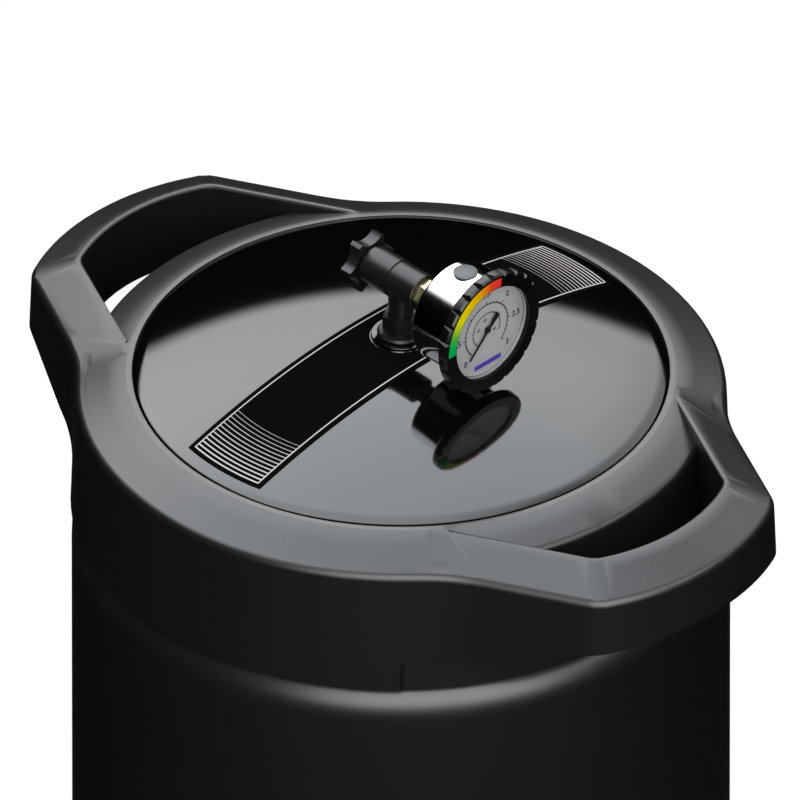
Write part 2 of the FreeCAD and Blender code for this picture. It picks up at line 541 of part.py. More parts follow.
# Water way inside the tank: bent outlet pipe with its foot, flange, spigot and air tube socket
def make_manifold():
    body = piece("outlet_manifold")
    pipe_end = f"-({port_inside} + manifold_socket - body_gap)"
    post = draw(body, "Foot", "XZ_Plane", [
        ("0", "tank_floor + tank_wall"), ("manifold_radius - 4", "tank_floor + tank_wall"),
        ("manifold_radius - 4", "tank_floor + tank_wall + 6"), ("manifold_radius - 14", "tank_floor + 24"),
        ("manifold_radius - 14", "port_height"), ("0", "port_height")])
    turn(body, post)
    path = body.newObject("Sketcher::SketchObject", "outlet_manifold_Path")
    path.AttachmentSupport = [(origin_part(body, "YZ_Plane"), "")]
    path.MapMode = "FlatFace"
    spots = [(pipe_end, "port_height"), ("-manifold_bend", "port_height"),
             ("0", "port_height + manifold_bend"), ("0", "seat_height + spigot_rise")]
    start, bend, climb, top = [V(number(y), number(z), 0) for y, z in spots]
    run = path.addGeometry(Part.LineSegment(start, bend))
    elbow = path.addGeometry(arc_between(bend, climb, number("manifold_bend")))
    rise = path.addGeometry(Part.LineSegment(climb, top))
    path.addConstraint(Sketcher.Constraint("Coincident", run, 2, elbow, 1))
    path.addConstraint(Sketcher.Constraint("Coincident", elbow, 2, rise, 1))
    for (edge, end), (y, z) in zip([(run, 1), (run, 2), (rise, 1), (rise, 2)], spots):
        tie(path, "DistanceX", -1, 1, edge, end, y)
        tie(path, "DistanceY", -1, 1, edge, end, z)
    tie(path, "Radius", elbow, "manifold_bend")
    for kind, name, radius in [("AdditivePipe", "Wall", "manifold_radius"),
                               ("SubtractivePipe", "Bore", "manifold_radius - manifold_wall")]:
        if kind == "SubtractivePipe":
            flange = box_loop("manifold_radius - 1", "seat_height - 6", "seat_radius", "seat_height")
            turn(body, draw(body, "Flange", "XZ_Plane", flange))
        section = draw(body, name, "XZ_Plane", ("circle", "0", "port_height", radius),
                       shift=("0", "0", f"-({pipe_end})"))
        pipe = body.newObject("PartDesign::" + kind, "outlet_manifold_" + name + "Swept")
        pipe.Profile = section
        pipe.Spine = (path, ["Edge1", "Edge2", "Edge3"])
        if kind == "SubtractivePipe":
            CUTS.append(pipe)
    spoke = draw(body, "Spokes", "XY_Plane",
                 box_loop("-(manifold_radius - 1)", "-1.5", "manifold_radius - 1", "1.5"),
                 shift=("0", "0", "seat_height + 8"))
    around(body, raise_up(body, spoke, "6"), "3")
    hub = box_loop("0", "seat_height + 2", "air_tube_radius + 3.5", "seat_height + spigot_rise - 4")
    turn(body, draw(body, "Hub", "XZ_Plane", hub))
    hub_bore = box_loop("0", "seat_height + 4", "air_tube_radius + body_gap / 2", "seat_height + spigot_rise")
    turn(body, draw(body, "HubBore", "XZ_Plane", hub_bore), cut=True)
    groove_floor = "(manifold_radius + body_gap / 2 - 2 * spigot_ring_section)"
    groove = box_loop(groove_floor, "seat_height + 12",
                      "manifold_radius + 5", "seat_height + 12 + 2.4 * spigot_ring_section")
    turn(body, draw(body, "RingGroove", "XZ_Plane", groove), cut=True)
    ring = piece("manifold_oring")
    o_ring(ring, f"{groove_floor} + spigot_ring_section", "spigot_ring_section",
           "seat_height + 12 + 1.2 * spigot_ring_section")


def make_diffuser():
    """Basket over the inlet, which turns the stream away from the cartridge."""
    body = piece("inlet_diffuser", z=inlet_line)
    flange_out = f"({port_inside} - body_gap)"
    turn(body, draw(body, "Section", "YZ_Plane", [
        (f"{port_inside} - diffuser_length", "0"),
        (f"{port_inside} - diffuser_length + diffuser_wall", "0"),
        (f"{port_inside} - diffuser_length + diffuser_wall", "port_bore"),
        (f"{port_inside} + diffuser_spout", "port_bore - diffuser_wall"),
        (f"{port_inside} + diffuser_spout", "port_bore - body_gap"),
        (flange_out, "port_bore - body_gap"),
        (flange_out, "port_bore + diffuser_lip"),
        (f"{flange_out} - diffuser_wall", "port_bore + diffuser_lip"),
        (f"{flange_out} - diffuser_wall", "port_bore + diffuser_wall"),
        (f"{port_inside} - diffuser_length", "port_bore + diffuser_wall"),
    ]), "H_Axis")
    slot = draw(body, "Slot", "XY_Plane",
                box_loop("-port_bore / 5", f"{port_inside} - 0.8 * diffuser_length",
                         "port_bore / 5", f"{port_inside} - 0.25 * diffuser_length"))
    around(body, raise_up(body, slot, "port_bore + 10", cut=True, back=True), "8", "Y_Axis")


# Cartridge: two moulded end caps, the pleated cloth and a slotted core
def make_cartridge():
    bottom = piece("cartridge_bottom_cap", z="seat_height + body_gap")
    fit = "(manifold_radius + body_gap)"
    turn(bottom, draw(bottom, "Section", "XZ_Plane", [
        (fit, "0"), ("cartridge_radius - 3", "0"), ("cartridge_radius", "3"),
        ("cartridge_radius", "cap_thickness + 6"), ("cartridge_radius - 3", "cap_thickness + 6"),
        ("cartridge_radius - 3", "cap_thickness"), (fit, "cap_thickness")]))
    top = piece("cartridge_top_cap", z=f"{cartridge_top} - cap_thickness")
    tube_hole = "(air_tube_radius + 2)"
    turn(top, draw(top, "Section", "XZ_Plane", [
        (tube_hole, "0"), ("cartridge_radius - 3", "0"), ("cartridge_radius - 3", "-6"),
        ("cartridge_radius", "-6"), ("cartridge_radius", "cap_thickness - 3"),
        ("cartridge_radius - 3", "cap_thickness"), ("60", "cap_thickness"), ("54", "cap_thickness - 7"),
        ("20", "cap_thickness - 7"), ("18", "cap_thickness"), (tube_hole, "cap_thickness")]))
    grip = draw(top, "Grip", "XY_Plane", box_loop("15", "-4", "59", "4"), shift=("0", "0", "cap_thickness - 8"))
    around(top, raise_up(top, grip, "8"), "2")
    cloth = piece("cartridge_pleats", z="seat_height + body_gap + cap_thickness")
    length = "cartridge_length - 2 * cap_thickness"
    inner = draw(cloth, "Inner", "XY_Plane", ("circle", "0", "0", "pleat_root + 2"),
                 ("circle", "0", "0", "core_radius + body_gap"))
    raise_up(cloth, inner, length)
    pleat = draw(cloth, "Pleat", "XY_Plane", [
        ("pleat_root", "-pleat_foot / 2"), ("pleat_radius", "-pleat_tip / 2"),
        ("pleat_radius", "pleat_tip / 2"), ("pleat_root", "pleat_foot / 2")])
    around(cloth, raise_up(cloth, pleat, length), "pleat_count")
    core = piece("cartridge_core", z="seat_height + body_gap + cap_thickness")
    tube = draw(core, "Tube", "XY_Plane", ("circle", "0", "0", "core_radius"),
                ("circle", "0", "0", "core_radius - core_wall"))
    raise_up(core, tube, length)
    rows = [box_loop("-5", f"({length}) * {low}", "5", f"({length}) * {high}")
            for low, high in ((0.05, 0.3), (0.37, 0.63), (0.7, 0.95))]
    slots = draw(core, "Slots", "XZ_Plane", *rows)
    around(core, raise_up(core, slots, "core_radius + 5", cut=True), "core_slots")


def make_air_relief():
    """Tube that lets trapped air out past the cartridge, with a strainer on top."""
    low = "seat_height + 4"
    tube = piece("air_bleed_tube", z=low)
    rise = f"({cartridge_top} + 14 - {low})"
    turn(tube, draw(tube, "Section", "XZ_Plane",
                    box_loop("air_tube_radius - air_tube_wall", "0", "air_tube_radius", rise)))
    screen = piece("air_screen", z=f"{low} + {rise}")
    around_tube = "(air_tube_radius + body_gap / 2)"
    turn(screen, draw(screen, "Section", "XZ_Plane", [
        (around_tube, "-8"), ("air_tube_radius + 2", "-8"), ("air_tube_radius + 3", "0"),
        ("air_tube_radius", "9"), ("0", "9"), ("0", "7"), ("air_tube_radius - 1.5", "7"),
        (around_tube, "0")]))
    slit = draw(screen, "Slit", "XZ_Plane", box_loop("-1", "1", "1", "5.5"))
    around(screen, raise_up(screen, slit, "air_tube_radius + 6", cut=True), "8")


# Lid: spherical dome with a conical flange, spigot with seal groove and a boss for the gauge tee
def dome_at(radius, sphere="dome_radius"):
    """Height over the lip of the dome, or of its underside, at a distance from the axis."""
    return f"(dome_rise - dome_radius + sqrt({sphere}^2 - ({radius})^2))"


def make_lid():
    body = piece("lid", z="lip_height")
    spigot = f"({neck_bore} - body_gap)"
    seat = "-(rim_drop - body_gap)"
    flange_edge = "-(flange_drop + (flange_radius - lid_radius) * tan(cone_angle))"
    groove_floor = f"({neck_bore} - 2 * seal_section - body_gap / 2)"
    groove_top = f"({seat} - 5)"
    groove_low = f"({groove_top} - 2 * seal_section - 0.6)"
    under = f"({spigot} - lid_wall)"
    turn(body, draw(body, "Section", "XZ_Plane", [
        ("stem_hole", "boss_rise"),
        ("boss_radius", "boss_rise"),
        ("boss_radius", dome_at("boss_radius"), "-dome_radius"),
        ("lid_radius", dome_at("lid_radius")),
        ("lid_radius", "-flange_drop"),
        ("flange_radius", flange_edge),
        ("flange_radius", seat),
        (spigot, seat),
        (spigot, groove_top),
        (groove_floor, groove_top),
        (groove_floor, groove_low),
        (spigot, groove_low),
        (spigot, f"{seat} - spigot_depth"),
        (f"{under} - 4", f"{seat} - spigot_depth"),
        (f"{under} - 6", f"{dome_at(under, dome_underside)} - 4"),
        (f"{under} - 10", dome_at(f"{under} - 10", dome_underside), dome_underside),
        ("boss_radius + 6", dome_at("boss_radius + 6", dome_underside)),
        ("boss_radius + 6", "dome_rise - lid_wall - 3"),
        ("stem_hole", "dome_rise - lid_wall - 3"),
    ]))
    seal = piece("lid_oring", z="lip_height")
    o_ring(seal, f"{groove_floor} + seal_section", "seal_section", f"({groove_top} + {groove_low}) / 2")


def make_label():
    """Thin printed band that lies across the dome, with round ends and a hole for the boss."""
    body = piece("label_band", z="lip_height")
    low = "(dome_radius + label_gap)"
    high = f"({low} + label_thickness)"
    hole = "(boss_radius + 1)"
    turn(body, draw(body, "Section", "XZ_Plane", [
        (hole, dome_at(hole, high), f"-{high}"),
        ("label_end", dome_at("label_end", high)),
        ("label_end", dome_at("label_end", low), low),
        (hole, dome_at(hole, low))]))
    sides = [box_loop("label_half", "-label_end - 1", "label_end + 1", "label_end + 1"),
             box_loop("-label_end - 1", "-label_end - 1", "-label_half", "label_end + 1")]
    trim = draw(body, "Sides", "XY_Plane", *sides, shift=("0", "0", "dome_rise + 2"))
    raise_up(body, trim, "3 * dome_rise", cut=True)


# Lock ring: one moulding with two looped handles, a skirt and locking lugs inside
def ring_outline(reach, end_radius, corner, flank, blend, rim):
    """Outline of the ring with both handles: arcs and flank lines that meet tangent."""
    middle = f"({reach} - {end_radius})"
    end_turn = (f"(flank_angle * 1 deg - acos(({flank} - {corner} - {middle} * cos(flank_angle))"
                f" / ({end_radius} - {corner})))")
    rim_turn = f"(flank_angle * 1 deg - acos(({flank} + {blend}) / ({rim} + {blend})))"
    quarter = [
        (f"({middle} + {end_radius} * cos({end_turn}))", f"({end_radius} * sin({end_turn}))"),
        (f"({middle} + ({end_radius} - {corner}) * cos({end_turn}) + {corner} * cos(flank_angle))",
         f"(({end_radius} - {corner}) * sin({end_turn}) + {corner} * sin(flank_angle))"),
        (f"(({rim} + {blend}) * cos({rim_turn}) - {blend} * cos(flank_angle))",
         f"(({rim} + {blend}) * sin({rim_turn}) - {blend} * sin(flank_angle))"),
        (f"({rim} * cos({rim_turn}))", f"({rim} * sin({rim_turn}))"),
    ]
    outward = [(corner,), (), (f"-({blend})",), (rim,)]
    inward = [(end_radius,), (corner,), (), (f"-({blend})",)]
    loop = []
    for side_x, side_y in (("", ""), ("-", ""), ("-", "-"), ("", "-")):
        order = range(4) if side_x == side_y else range(3, -1, -1)
        curves = outward if side_x == side_y else inward
        for spot in order:
            x, y = quarter[spot]
            loop.append((side_x + x, side_y + y) + curves[spot])
    return loop


def grown_outline(by):
    """The ring's outer outline, moved outwards by an amount."""
    return ring_outline(f"(handle_reach + {by})", f"(handle_end_radius + {by})", f"(handle_corner + {by})",
                        f"(flank_distance + {by})", f"(flank_blend - {by})", f"(rim_radius + {by})")


def loop_outline(by):
    """The outline of the lip round lid and loops, moved outwards by an amount."""
    return ring_outline(f"(handle_reach - handle_width + {by})", f"(handle_end_radius - handle_width + {by})",
                        f"(loop_corner + {by})", f"(flank_distance - flank_width + {by})",
                        f"(loop_blend - {by})", f"(lip_bore + lip_flat - loop_lip + {by})")


def make_lock_ring():
    body = piece("lock_ring", z="lip_height")
    low = draw(body, "SkinLow", "XY_Plane", grown_outline("skin_draft"), shift=("0", "0", "-skirt_depth"))
    edge = draw(body, "SkinEdge", "XY_Plane", grown_outline("0"), shift=("0", "0", "-edge_drop"))
    lip = draw(body, "SkinLip", "XY_Plane", loop_outline("loop_lip"))
    skin = body.newObject("PartDesign::AdditiveLoft", "lock_ring_Skin")
    skin.Profile = low
    skin.Sections = [edge, lip]
    skin.Ruled = True
    hollow = draw(body, "LoopHollow", "XY_Plane", loop_outline("0"), shift=("0", "0", "1"))
    raise_up(body, hollow, "skirt_depth + 2", cut=True)
    under = []
    for side in ("", "-"):
        under.append([(f"{side}flank_from", "-skirt_depth - 1"), (f"{side}flank_from", "-flank_bottom"),
                      (f"{side}slope_from", "-flank_bottom + flank_rise"), (f"{side}slope_to", "-handle_bottom"),
                      (f"{side}(handle_reach + 20)", "-handle_bottom + end_slope * (slope_inset + 20)"),
                      (f"{side}(handle_reach + 20)", "-skirt_depth - 1")])
    raise_up(body, draw(body, "RaisedEdge", "XZ_Plane", *under), "3 * handle_reach", cut=True, both=True)
    slope = "tan(cone_angle)"
    wall_lean = "((skirt_radius - band_radius) / skirt_depth)"
    tangent = "(band_round * tan((90 - cone_angle - 5) / 2))"
    band_low = f"(-(band_radius - lip_bore - lip_flat) * {slope})"
    turn(body, draw(body, "InnerRing", "XZ_Plane", [
        ("lip_bore", "0"),
        ("lip_bore", "-skirt_depth"),
        ("skirt_radius", "-skirt_depth"),
        (f"band_radius + {tangent} * {wall_lean}", f"{band_low} - {tangent}", "band_round"),
        (f"band_radius - {tangent} * cos(cone_angle)", f"{band_low} + {tangent} * sin(cone_angle)"),
        ("lip_bore + lip_flat", "0"),
    ]))
    flange_gap = "(flange_drop - body_gap - 0.1)"
    ceiling = f"(-({flange_gap} + (ring_bore - lid_radius) * {slope}))"
    inside = "(lip_bore - 8)"
    inside_ceiling = f"(-({flange_gap} + ({inside} - lid_radius) * {slope}))"
    turn(body, draw(body, "Void", "XZ_Plane", [
        (inside, "-skirt_depth - 1"),
        ("skirt_radius - skirt_wall", "-skirt_depth - 1"),
        ("skirt_radius - skirt_wall", "-ring_bore_depth - 6"),
        ("ring_bore", "-ring_bore_depth"),
        ("ring_bore", ceiling),
        (inside, inside_ceiling),
    ]), cut=True)
    centre = "(handle_reach - handle_end_radius)"
    inner = "(handle_end_radius - handle_width + cell_wall)"
    outer = "(handle_end_radius - cell_wall)"
    cells = []
    for side in ("", "-"):
        for start in (-2, -1, 0, 1):
            a = f"({start} * cell_step + (cell_step - cell_angle) / 2)"
            b = f"({a} + cell_angle)"
            corners = [(inner, a, None), (outer, a, outer), (outer, b, None), (inner, b, f"-{inner}")]
            if side:
                corners = [(inner, b, None), (outer, b, outer), (outer, a, None), (inner, a, f"-{inner}")]
            loop = []
            for radius, angle, bend in corners:
                spot = (f"{side}({centre} + {radius} * cos({angle}))", f"{radius} * sin({angle})")
                loop.append(spot + ((bend,) if bend else ()))
            cells.append(loop)
    cell_sketch = draw(body, "Cells", "XY_Plane", *cells, shift=("0", "0", "-skirt_depth - 1"))
    raise_up(body, cell_sketch, "skirt_depth + 1 - cell_top", cut=True, back=True)
    offset = "(lug_lead * (tank_lug_span - ring_lug_span) / 720)"
    helical_lug(body, "neck_radius + lug_side_gap", "ring_bore + 1",
                f"(-lug_drop + {offset} - body_gap - lug_thickness)", "ring_lug_span", "0")


# Gauge tee on the lid: upright stem with its nut and washer, level barrel for bleed and gauge
def make_tee():
    body = piece("gauge_tee", z=gauge_line)
    thread_end = "(2 - gauge_height)"
    turn(body, draw(body, "Stem", "XZ_Plane", [
        ("0", "0"), ("0", thread_end), ("stem_thread", thread_end), ("stem_thread", stem_foot),
        ("stem_flats / 2 + 0.8", stem_foot), ("stem_flats / 2 + 0.8", f"{stem_foot} + 2"),
        ("stem_radius", f"{stem_foot} + 2"), ("stem_radius", "0")]))
    raise_up(body, draw(body, "Hexagon", "XY_Plane", hexagon("stem_flats"),
                        shift=("0", "0", f"{stem_foot} + 2")), "stem_hex_height")
    turn(body, draw(body, "Barrel", "XZ_Plane", [
        ("-barrel_back", "0"), ("barrel_front", "0"), ("barrel_front", "barrel_neck"),
        ("-barrel_step", "barrel_neck"), ("-barrel_step", "barrel_radius"),
        ("-barrel_back + 1", "barrel_radius"), ("-barrel_back", "barrel_radius - 1")]), "H_Axis")
    spindle = "(spindle_radius + spindle_gap)"
    turn(body, draw(body, "Bore", "XZ_Plane", [
        ("-barrel_back - 1", "0"), ("barrel_front + 1", "0"), ("barrel_front + 1", "cup_radius"),
        ("barrel_front - cup_depth", "cup_radius"), ("barrel_front - cup_depth", "socket_thread + 0.1"),
        ("socket_seat - body_gap", "socket_thread + 0.1"), ("socket_seat - body_gap", "2.5"),
        ("-barrel_back + spindle_length + 0.5", "2.5"), ("-barrel_back + spindle_length + 0.5", spindle),
        ("-barrel_back - 1", spindle)]), "H_Axis", cut=True)
    turn(body, draw(body, "Riser", "XZ_Plane",
                    box_loop("0", f"{thread_end} - 1", "3", "0")), cut=True)
    washer = piece("tee_washer", z="lip_height + boss_rise")
    turn(washer, draw(washer, "Section", "XZ_Plane", [
        ("stem_hole", "0"), ("washer_radius - 1", "0"), ("washer_radius", "washer_height / 2"),
        ("washer_radius - 1", "washer_height"), ("stem_hole", "washer_height")]))
    nut = piece("tee_lock_nut", z="lip_height + dome_rise - lid_wall - 3 - stem_nut_height")
    raise_up(nut, draw(nut, "Hexagon", "XY_Plane", hexagon("stem_nut_flats"),
                       ("circle", "0", "0", "stem_thread + 0.2")), "stem_nut_height")


def make_bleed():
    """Star knob and spindle in one, and the seal that it carries."""
    knob = piece("bleed_knob", x="-barrel_back - body_gap", z=gauge_line)
    star = []
    for point in range(6):
        for side, bend in (("-", "knob_radius"), ("+", "-knob_hollow")):
            angle = f"({60 * point} {side} knob_point_angle / 2)"
            star.append((f"knob_radius * cos({angle})", f"knob_radius * sin({angle})", bend))
    raise_up(knob, draw(knob, "Star", "YZ_Plane", star, shift=("0", "0", "-knob_length")), "knob_length")
    seal_at = "bleed_seal_place"
    floor = "(spindle_radius - 2 * bleed_seal_section - body_gap)"
    half = "(bleed_seal_section + body_gap)"
    turn(knob, draw(knob, "Spindle", "XZ_Plane", [
        ("-knob_length / 2", "0"), ("spindle_length - 0.5", "0"), ("spindle_length - 0.5", "1"),
        ("spindle_length - 3", "spindle_radius"), (f"{seal_at} + {half}", "spindle_radius"),
        (f"{seal_at} + {half}", floor), (f"{seal_at} - {half}", floor),
        (f"{seal_at} - {half}", "spindle_radius"), ("-knob_length / 2", "spindle_radius")]), "H_Axis")
    turn(knob, draw(knob, "Dimple", "XZ_Plane",
                    box_loop("-knob_length - 1", "0", "-knob_length + 1", "4.5")), "H_Axis", cut=True)
    seal = piece("bleed_seal", x="-barrel_back - body_gap", z=gauge_line)
    o_ring(seal, "spindle_radius - bleed_seal_section - 0.05", "bleed_seal_section", seal_at, axis="H_Axis")


# Pressure gauge: brass socket, chrome case, bent tube and movement, dial, needle, lens and bezel
def make_gauge():
    socket = piece("gauge_socket", z=gauge_line)
    seat = "(barrel_front - cup_depth)"
    raise_up(socket, draw(socket, "Hexagon", "YZ_Plane", hexagon("socket_flats"),
                          shift=("0", "0", f"{seat} + 0.1")), f"socket_front - {seat} - 0.1")
    turn(socket, draw(socket, "Threads", "XZ_Plane",
                      box_loop("socket_seat", "0", "case_back + 8", "socket_thread")), "H_Axis")
    turn(socket, draw(socket, "Bore", "XZ_Plane",
                      box_loop("socket_seat - 1", "0", "case_back + 9", "1.5")), "H_Axis", cut=True)
    case = piece("gauge_case", z=gauge_line)
    hole = "(socket_thread + 0.1)"
    turn(case, draw(case, "Section", "XZ_Plane", [
        ("case_back", hole), ("case_back + case_wall", hole),
        ("case_back + case_wall", "case_radius - case_round", "-(case_round - case_wall)"),
        ("case_back + case_round", "case_radius - case_wall"),
        ("case_front", "case_radius - case_wall"), ("case_front", "case_radius"),
        ("case_back + case_round", "case_radius", "case_round"),
        ("case_back", "case_radius - case_round")]), "H_Axis")
    vent = draw(case, "VentHole", "XY_Plane", ("circle", "vent_place", "0", "vent_radius - 1.6"))
    raise_up(case, vent, "case_radius + 2", cut=True, back=True)
    plug = piece("gauge_vent_plug", x="vent_place", z=gauge_line)
    top = "(case_radius + 0.1)"
    turn(plug, draw(plug, "Section", "XZ_Plane", [
        ("0", "case_radius - 3"), ("vent_radius - 1.7", "case_radius - 3"), ("vent_radius - 1.7", top),
        ("vent_radius", top), ("vent_radius", f"{top} + vent_head / 2"),
        ("vent_radius - 1", f"{top} + vent_head"), ("0", f"{top} + vent_head")]))
    tube = piece("gauge_bourdon_tube", z=gauge_line)
    coil = draw(tube, "Section", "XZ_Plane", ("circle", "case_back + 11", "bourdon_radius", "bourdon_section"))
    turn(tube, coil, "H_Axis", angle=250)
    block = draw(tube, "Block", "XZ_Plane",
                 box_loop("case_back + 8.1", "-4", "case_back + 14", "bourdon_radius"))
    raise_up(tube, block, "6", both=True)
    movement = piece("gauge_movement", z=gauge_line)
    bearing = "(shaft_radius + 0.08)"
    turn(movement, draw(movement, "Section", "XZ_Plane", [
        ("case_back + 14.1", bearing), ("dial_front - 3.6", bearing), ("dial_front - 3.6", "9"),
        ("dial_front - 5", "9"), ("dial_front - 5", "3"), ("case_back + 16", "3"),
        ("case_back + 16", "9"), ("case_back + 14.1", "9")]), "H_Axis")
    dial = piece("gauge_dial", z=gauge_line)
    turn(dial, draw(dial, "Section", "XZ_Plane",
                    box_loop("dial_front - dial_thickness", bearing, "dial_front",
                             "case_radius - case_wall - body_gap")), "H_Axis")
    seal = piece("gauge_seal", z=gauge_line)
    turn(seal, draw(seal, "Section", "XZ_Plane",
                    box_loop("case_front", "case_radius - case_wall", "lens_back",
                             "case_radius - body_gap")), "H_Axis")
    lens = piece("gauge_lens", z=gauge_line)
    turn(lens, draw(lens, "Section", "XZ_Plane",
                    box_loop("lens_back", "0", "lens_back + lens_thickness",
                             "case_radius - body_gap")), "H_Axis")
    needle = piece("gauge_needle", z=gauge_line)
    pointer = [("-needle_tail", "-needle_width / 2"), ("0", "-needle_width / 2 + 0.2"),
               ("needle_length", "-0.3"), ("needle_length", "0.3"),
               ("0", "needle_width / 2 - 0.2"), ("-needle_tail", "needle_width / 2")]
    raise_up(needle, draw(needle, "Pointer", "YZ_Plane", pointer, shift=("0", "0", "dial_front + 1"),
                          spin=(V(0, 0, 1), "needle_zero")), "0.7")
    turn(needle, draw(needle, "Hub", "XZ_Plane", [
        ("case_back + 17", "0"), ("dial_front + 2.2", "0"), ("dial_front + 2.2", "2.4"),
        ("dial_front + 1.7", "3.2"), ("dial_front + 0.4", "3.2"), ("dial_front + 0.4", "shaft_radius"),
        ("case_back + 17", "shaft_radius")]), "H_Axis")


def make_bezel():
    """Grip ring that turns on the case, with a coloured band on its face."""
    bezel = piece("gauge_bezel", z=gauge_line)
    bore = "(case_radius + body_gap)"
    lip_back = "(lens_back + lens_thickness + body_gap)"
    turn(bezel, draw(bezel, "Section", "XZ_Plane", [
        ("bezel_back", bore), (lip_back, bore), (lip_back, "bezel_opening"),
        ("bezel_front", "bezel_opening"), ("bezel_front", "bezel_radius - 1"),
        ("bezel_front - 1", "bezel_radius"), ("bezel_back + 1", "bezel_radius"),
        ("bezel_back", "bezel_radius - 1")]), "H_Axis")
    ends = []
    for name, place, depth in (("Front", "bezel_front + 1", "notch_depth"), ("Back", "bezel_back", "0.2")):
        ends.append(draw(bezel, "Notch" + name, "YZ_Plane", [
            (f"bezel_radius - {depth}", "0"), ("bezel_radius + 1", f"-{depth} - 1"),
            ("bezel_radius + 1", f"{depth} + 1")], shift=("0", "0", place)))
    notch = bezel.newObject("PartDesign::SubtractiveLoft", "gauge_bezel_Notch_lofted")
    notch.Profile = ends[0]
    notch.Sections = ends[1:]
    notch.Ruled = True
    CUTS.append(notch)
    around(bezel, notch, "bezel_notches", "X_Axis")
    band = piece("gauge_colour_band", x="bezel_front", z=gauge_line)
    corners = [("band_inner", "band_start"), ("band_outer", "band_start", "band_outer"),
               ("band_outer", "band_end"), ("band_inner", "band_end", "-band_inner")]
    loop = [(f"{c[0]} * cos({c[1]})", f"{c[0]} * sin({c[1]})") + tuple(c[2:]) for c in corners]
    raise_up(band, draw(band, "Sector", "YZ_Plane", loop), "0.4")


# Drain plug in its boss, and the two pipe unions
def make_drain():
    start = "drain_ring_section + body_gap"
    ring = piece("drain_oring", x="drain_reach", z="drain_height")
    o_ring(ring, "drain_ring_radius", "drain_ring_section", start, axis="H_Axis")
    plug = piece("drain_plug", x="drain_reach", z="drain_height")
    raise_up(plug, draw(plug, "Head", "YZ_Plane", hexagon("drain_head_flats"),
                        shift=("0", "0", "5")), "drain_head_length - 5")
    rim = "(drain_head_flats / 2 + 3.5)"
    turn(plug, draw(plug, "Section", "XZ_Plane", [
        ("-22", "0"), ("6", "0"), ("6", rim), ("1", rim),
        ("1", "drain_ring_radius + drain_ring_section + body_gap"),
        (f"2 * ({start})", "drain_ring_radius + drain_ring_section + body_gap"),
        (f"2 * ({start})", "drain_ring_radius - drain_ring_section - body_gap"),
        ("1", "drain_ring_radius - drain_ring_section - body_gap"), ("1", "drain_shank"),
        ("-20", "drain_shank"), ("-22", "drain_shank - 1.5")]), "H_Axis")


def make_union(name, y, height, turned):
    """Tail with a pipe socket, its O-ring, and the nut that clamps it to the port."""
    tail = piece(name + "_tail", y=y, z=height, turned=turned)
    ring_in = "(union_ring_radius - union_ring_section - body_gap)"
    ring_out = "(union_ring_radius + union_ring_section + body_gap)"
    ring_depth = "(2 * union_ring_section + 2 * body_gap)"
    turn(tail, draw(tail, "Section", "YZ_Plane", [
        ("body_gap", "port_bore - 1"), ("tail_length - pipe_socket_depth", "port_bore - 1"),
        ("tail_length - pipe_socket_depth", "pipe_socket"), ("tail_length", "pipe_socket"),
        ("tail_length", "tail_radius"), ("tail_flange_length", "tail_radius"),
        ("tail_flange_length", "tail_flange"), ("body_gap", "tail_flange"), ("body_gap", ring_out),
        (ring_depth, ring_out), (ring_depth, ring_in), ("body_gap", ring_in)]), "H_Axis")
    ring = piece(name + "_oring", y=y, z=height, turned=turned)
    o_ring(ring, "union_ring_radius", "union_ring_section", "union_ring_section + body_gap",
           plane="YZ_Plane", axis="H_Axis")
    nut = piece(name + "_nut", y=y, z=height, turned=turned)
    lip = "(tail_flange_length + body_gap)"
    turn(nut, draw(nut, "Section", "YZ_Plane", [
        ("-nut_skirt", "port_radius + body_gap"), (lip, "port_radius + body_gap"),
        (lip, "tail_radius + body_gap"), (f"{lip} + nut_lip", "tail_radius + body_gap"),
        (f"{lip} + nut_lip", "nut_radius - 2"), (f"{lip} + nut_lip - 2", "nut_radius"),
        ("-nut_skirt + 1", "nut_radius"), ("-nut_skirt", "nut_radius - 1")]), "H_Axis")
    rib = draw(nut, "Rib", "XZ_Plane",
               box_loop("nut_radius - 1", "-nut_rib_width / 2",
                        "nut_radius + nut_rib_height", "nut_rib_width / 2"),
               shift=("0", "0", "nut_skirt - 1"))
    around(nut, raise_up(nut, rib, f"nut_skirt - 1 + {lip} + nut_lip - 3", back=True), "nut_ribs", "Y_Axis")


make_tank()
make_base()
make_base_screws()
make_manifold()
make_diffuser()
make_cartridge()
make_air_relief()
make_lid()
make_label()
make_lock_ring()
make_tee()
make_bleed()
make_gauge()
make_bezel()
make_drain()
make_union("inlet", "port_reach", inlet_line, 0)
make_union("outlet", "-port_reach", "port_height", 180)
doc.recompute()

faults = []
for item in doc.Objects:
    if {"Invalid", "Error"} & set(item.State):
        faults.append(f"{item.Label}: {item.State}")
for body in PIECES:
    if body.Shape.isNull() or not body.Shape.isValid() or not body.Shape.Solids:
        faults.append(f"{body.Label}: shape not sound")
for cut in CUTS:
    if cut.BaseFeature and cut.Shape.Volume > cut.BaseFeature.Shape.Volume - 0.001:
        faults.append(f"{cut.Label}: cuts nothing")
if faults:
    raise SystemExit("not sound:\n" + "\n".join(faults))

os.makedirs("parts", exist_ok=True)
for body in PIECES:
    body.Shape.exportStep(f"parts/{body.Label}.step")
print(len(PIECES), "pieces written")
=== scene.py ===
import json
import math

import bpy
from mathutils import Euler, Matrix, Vector

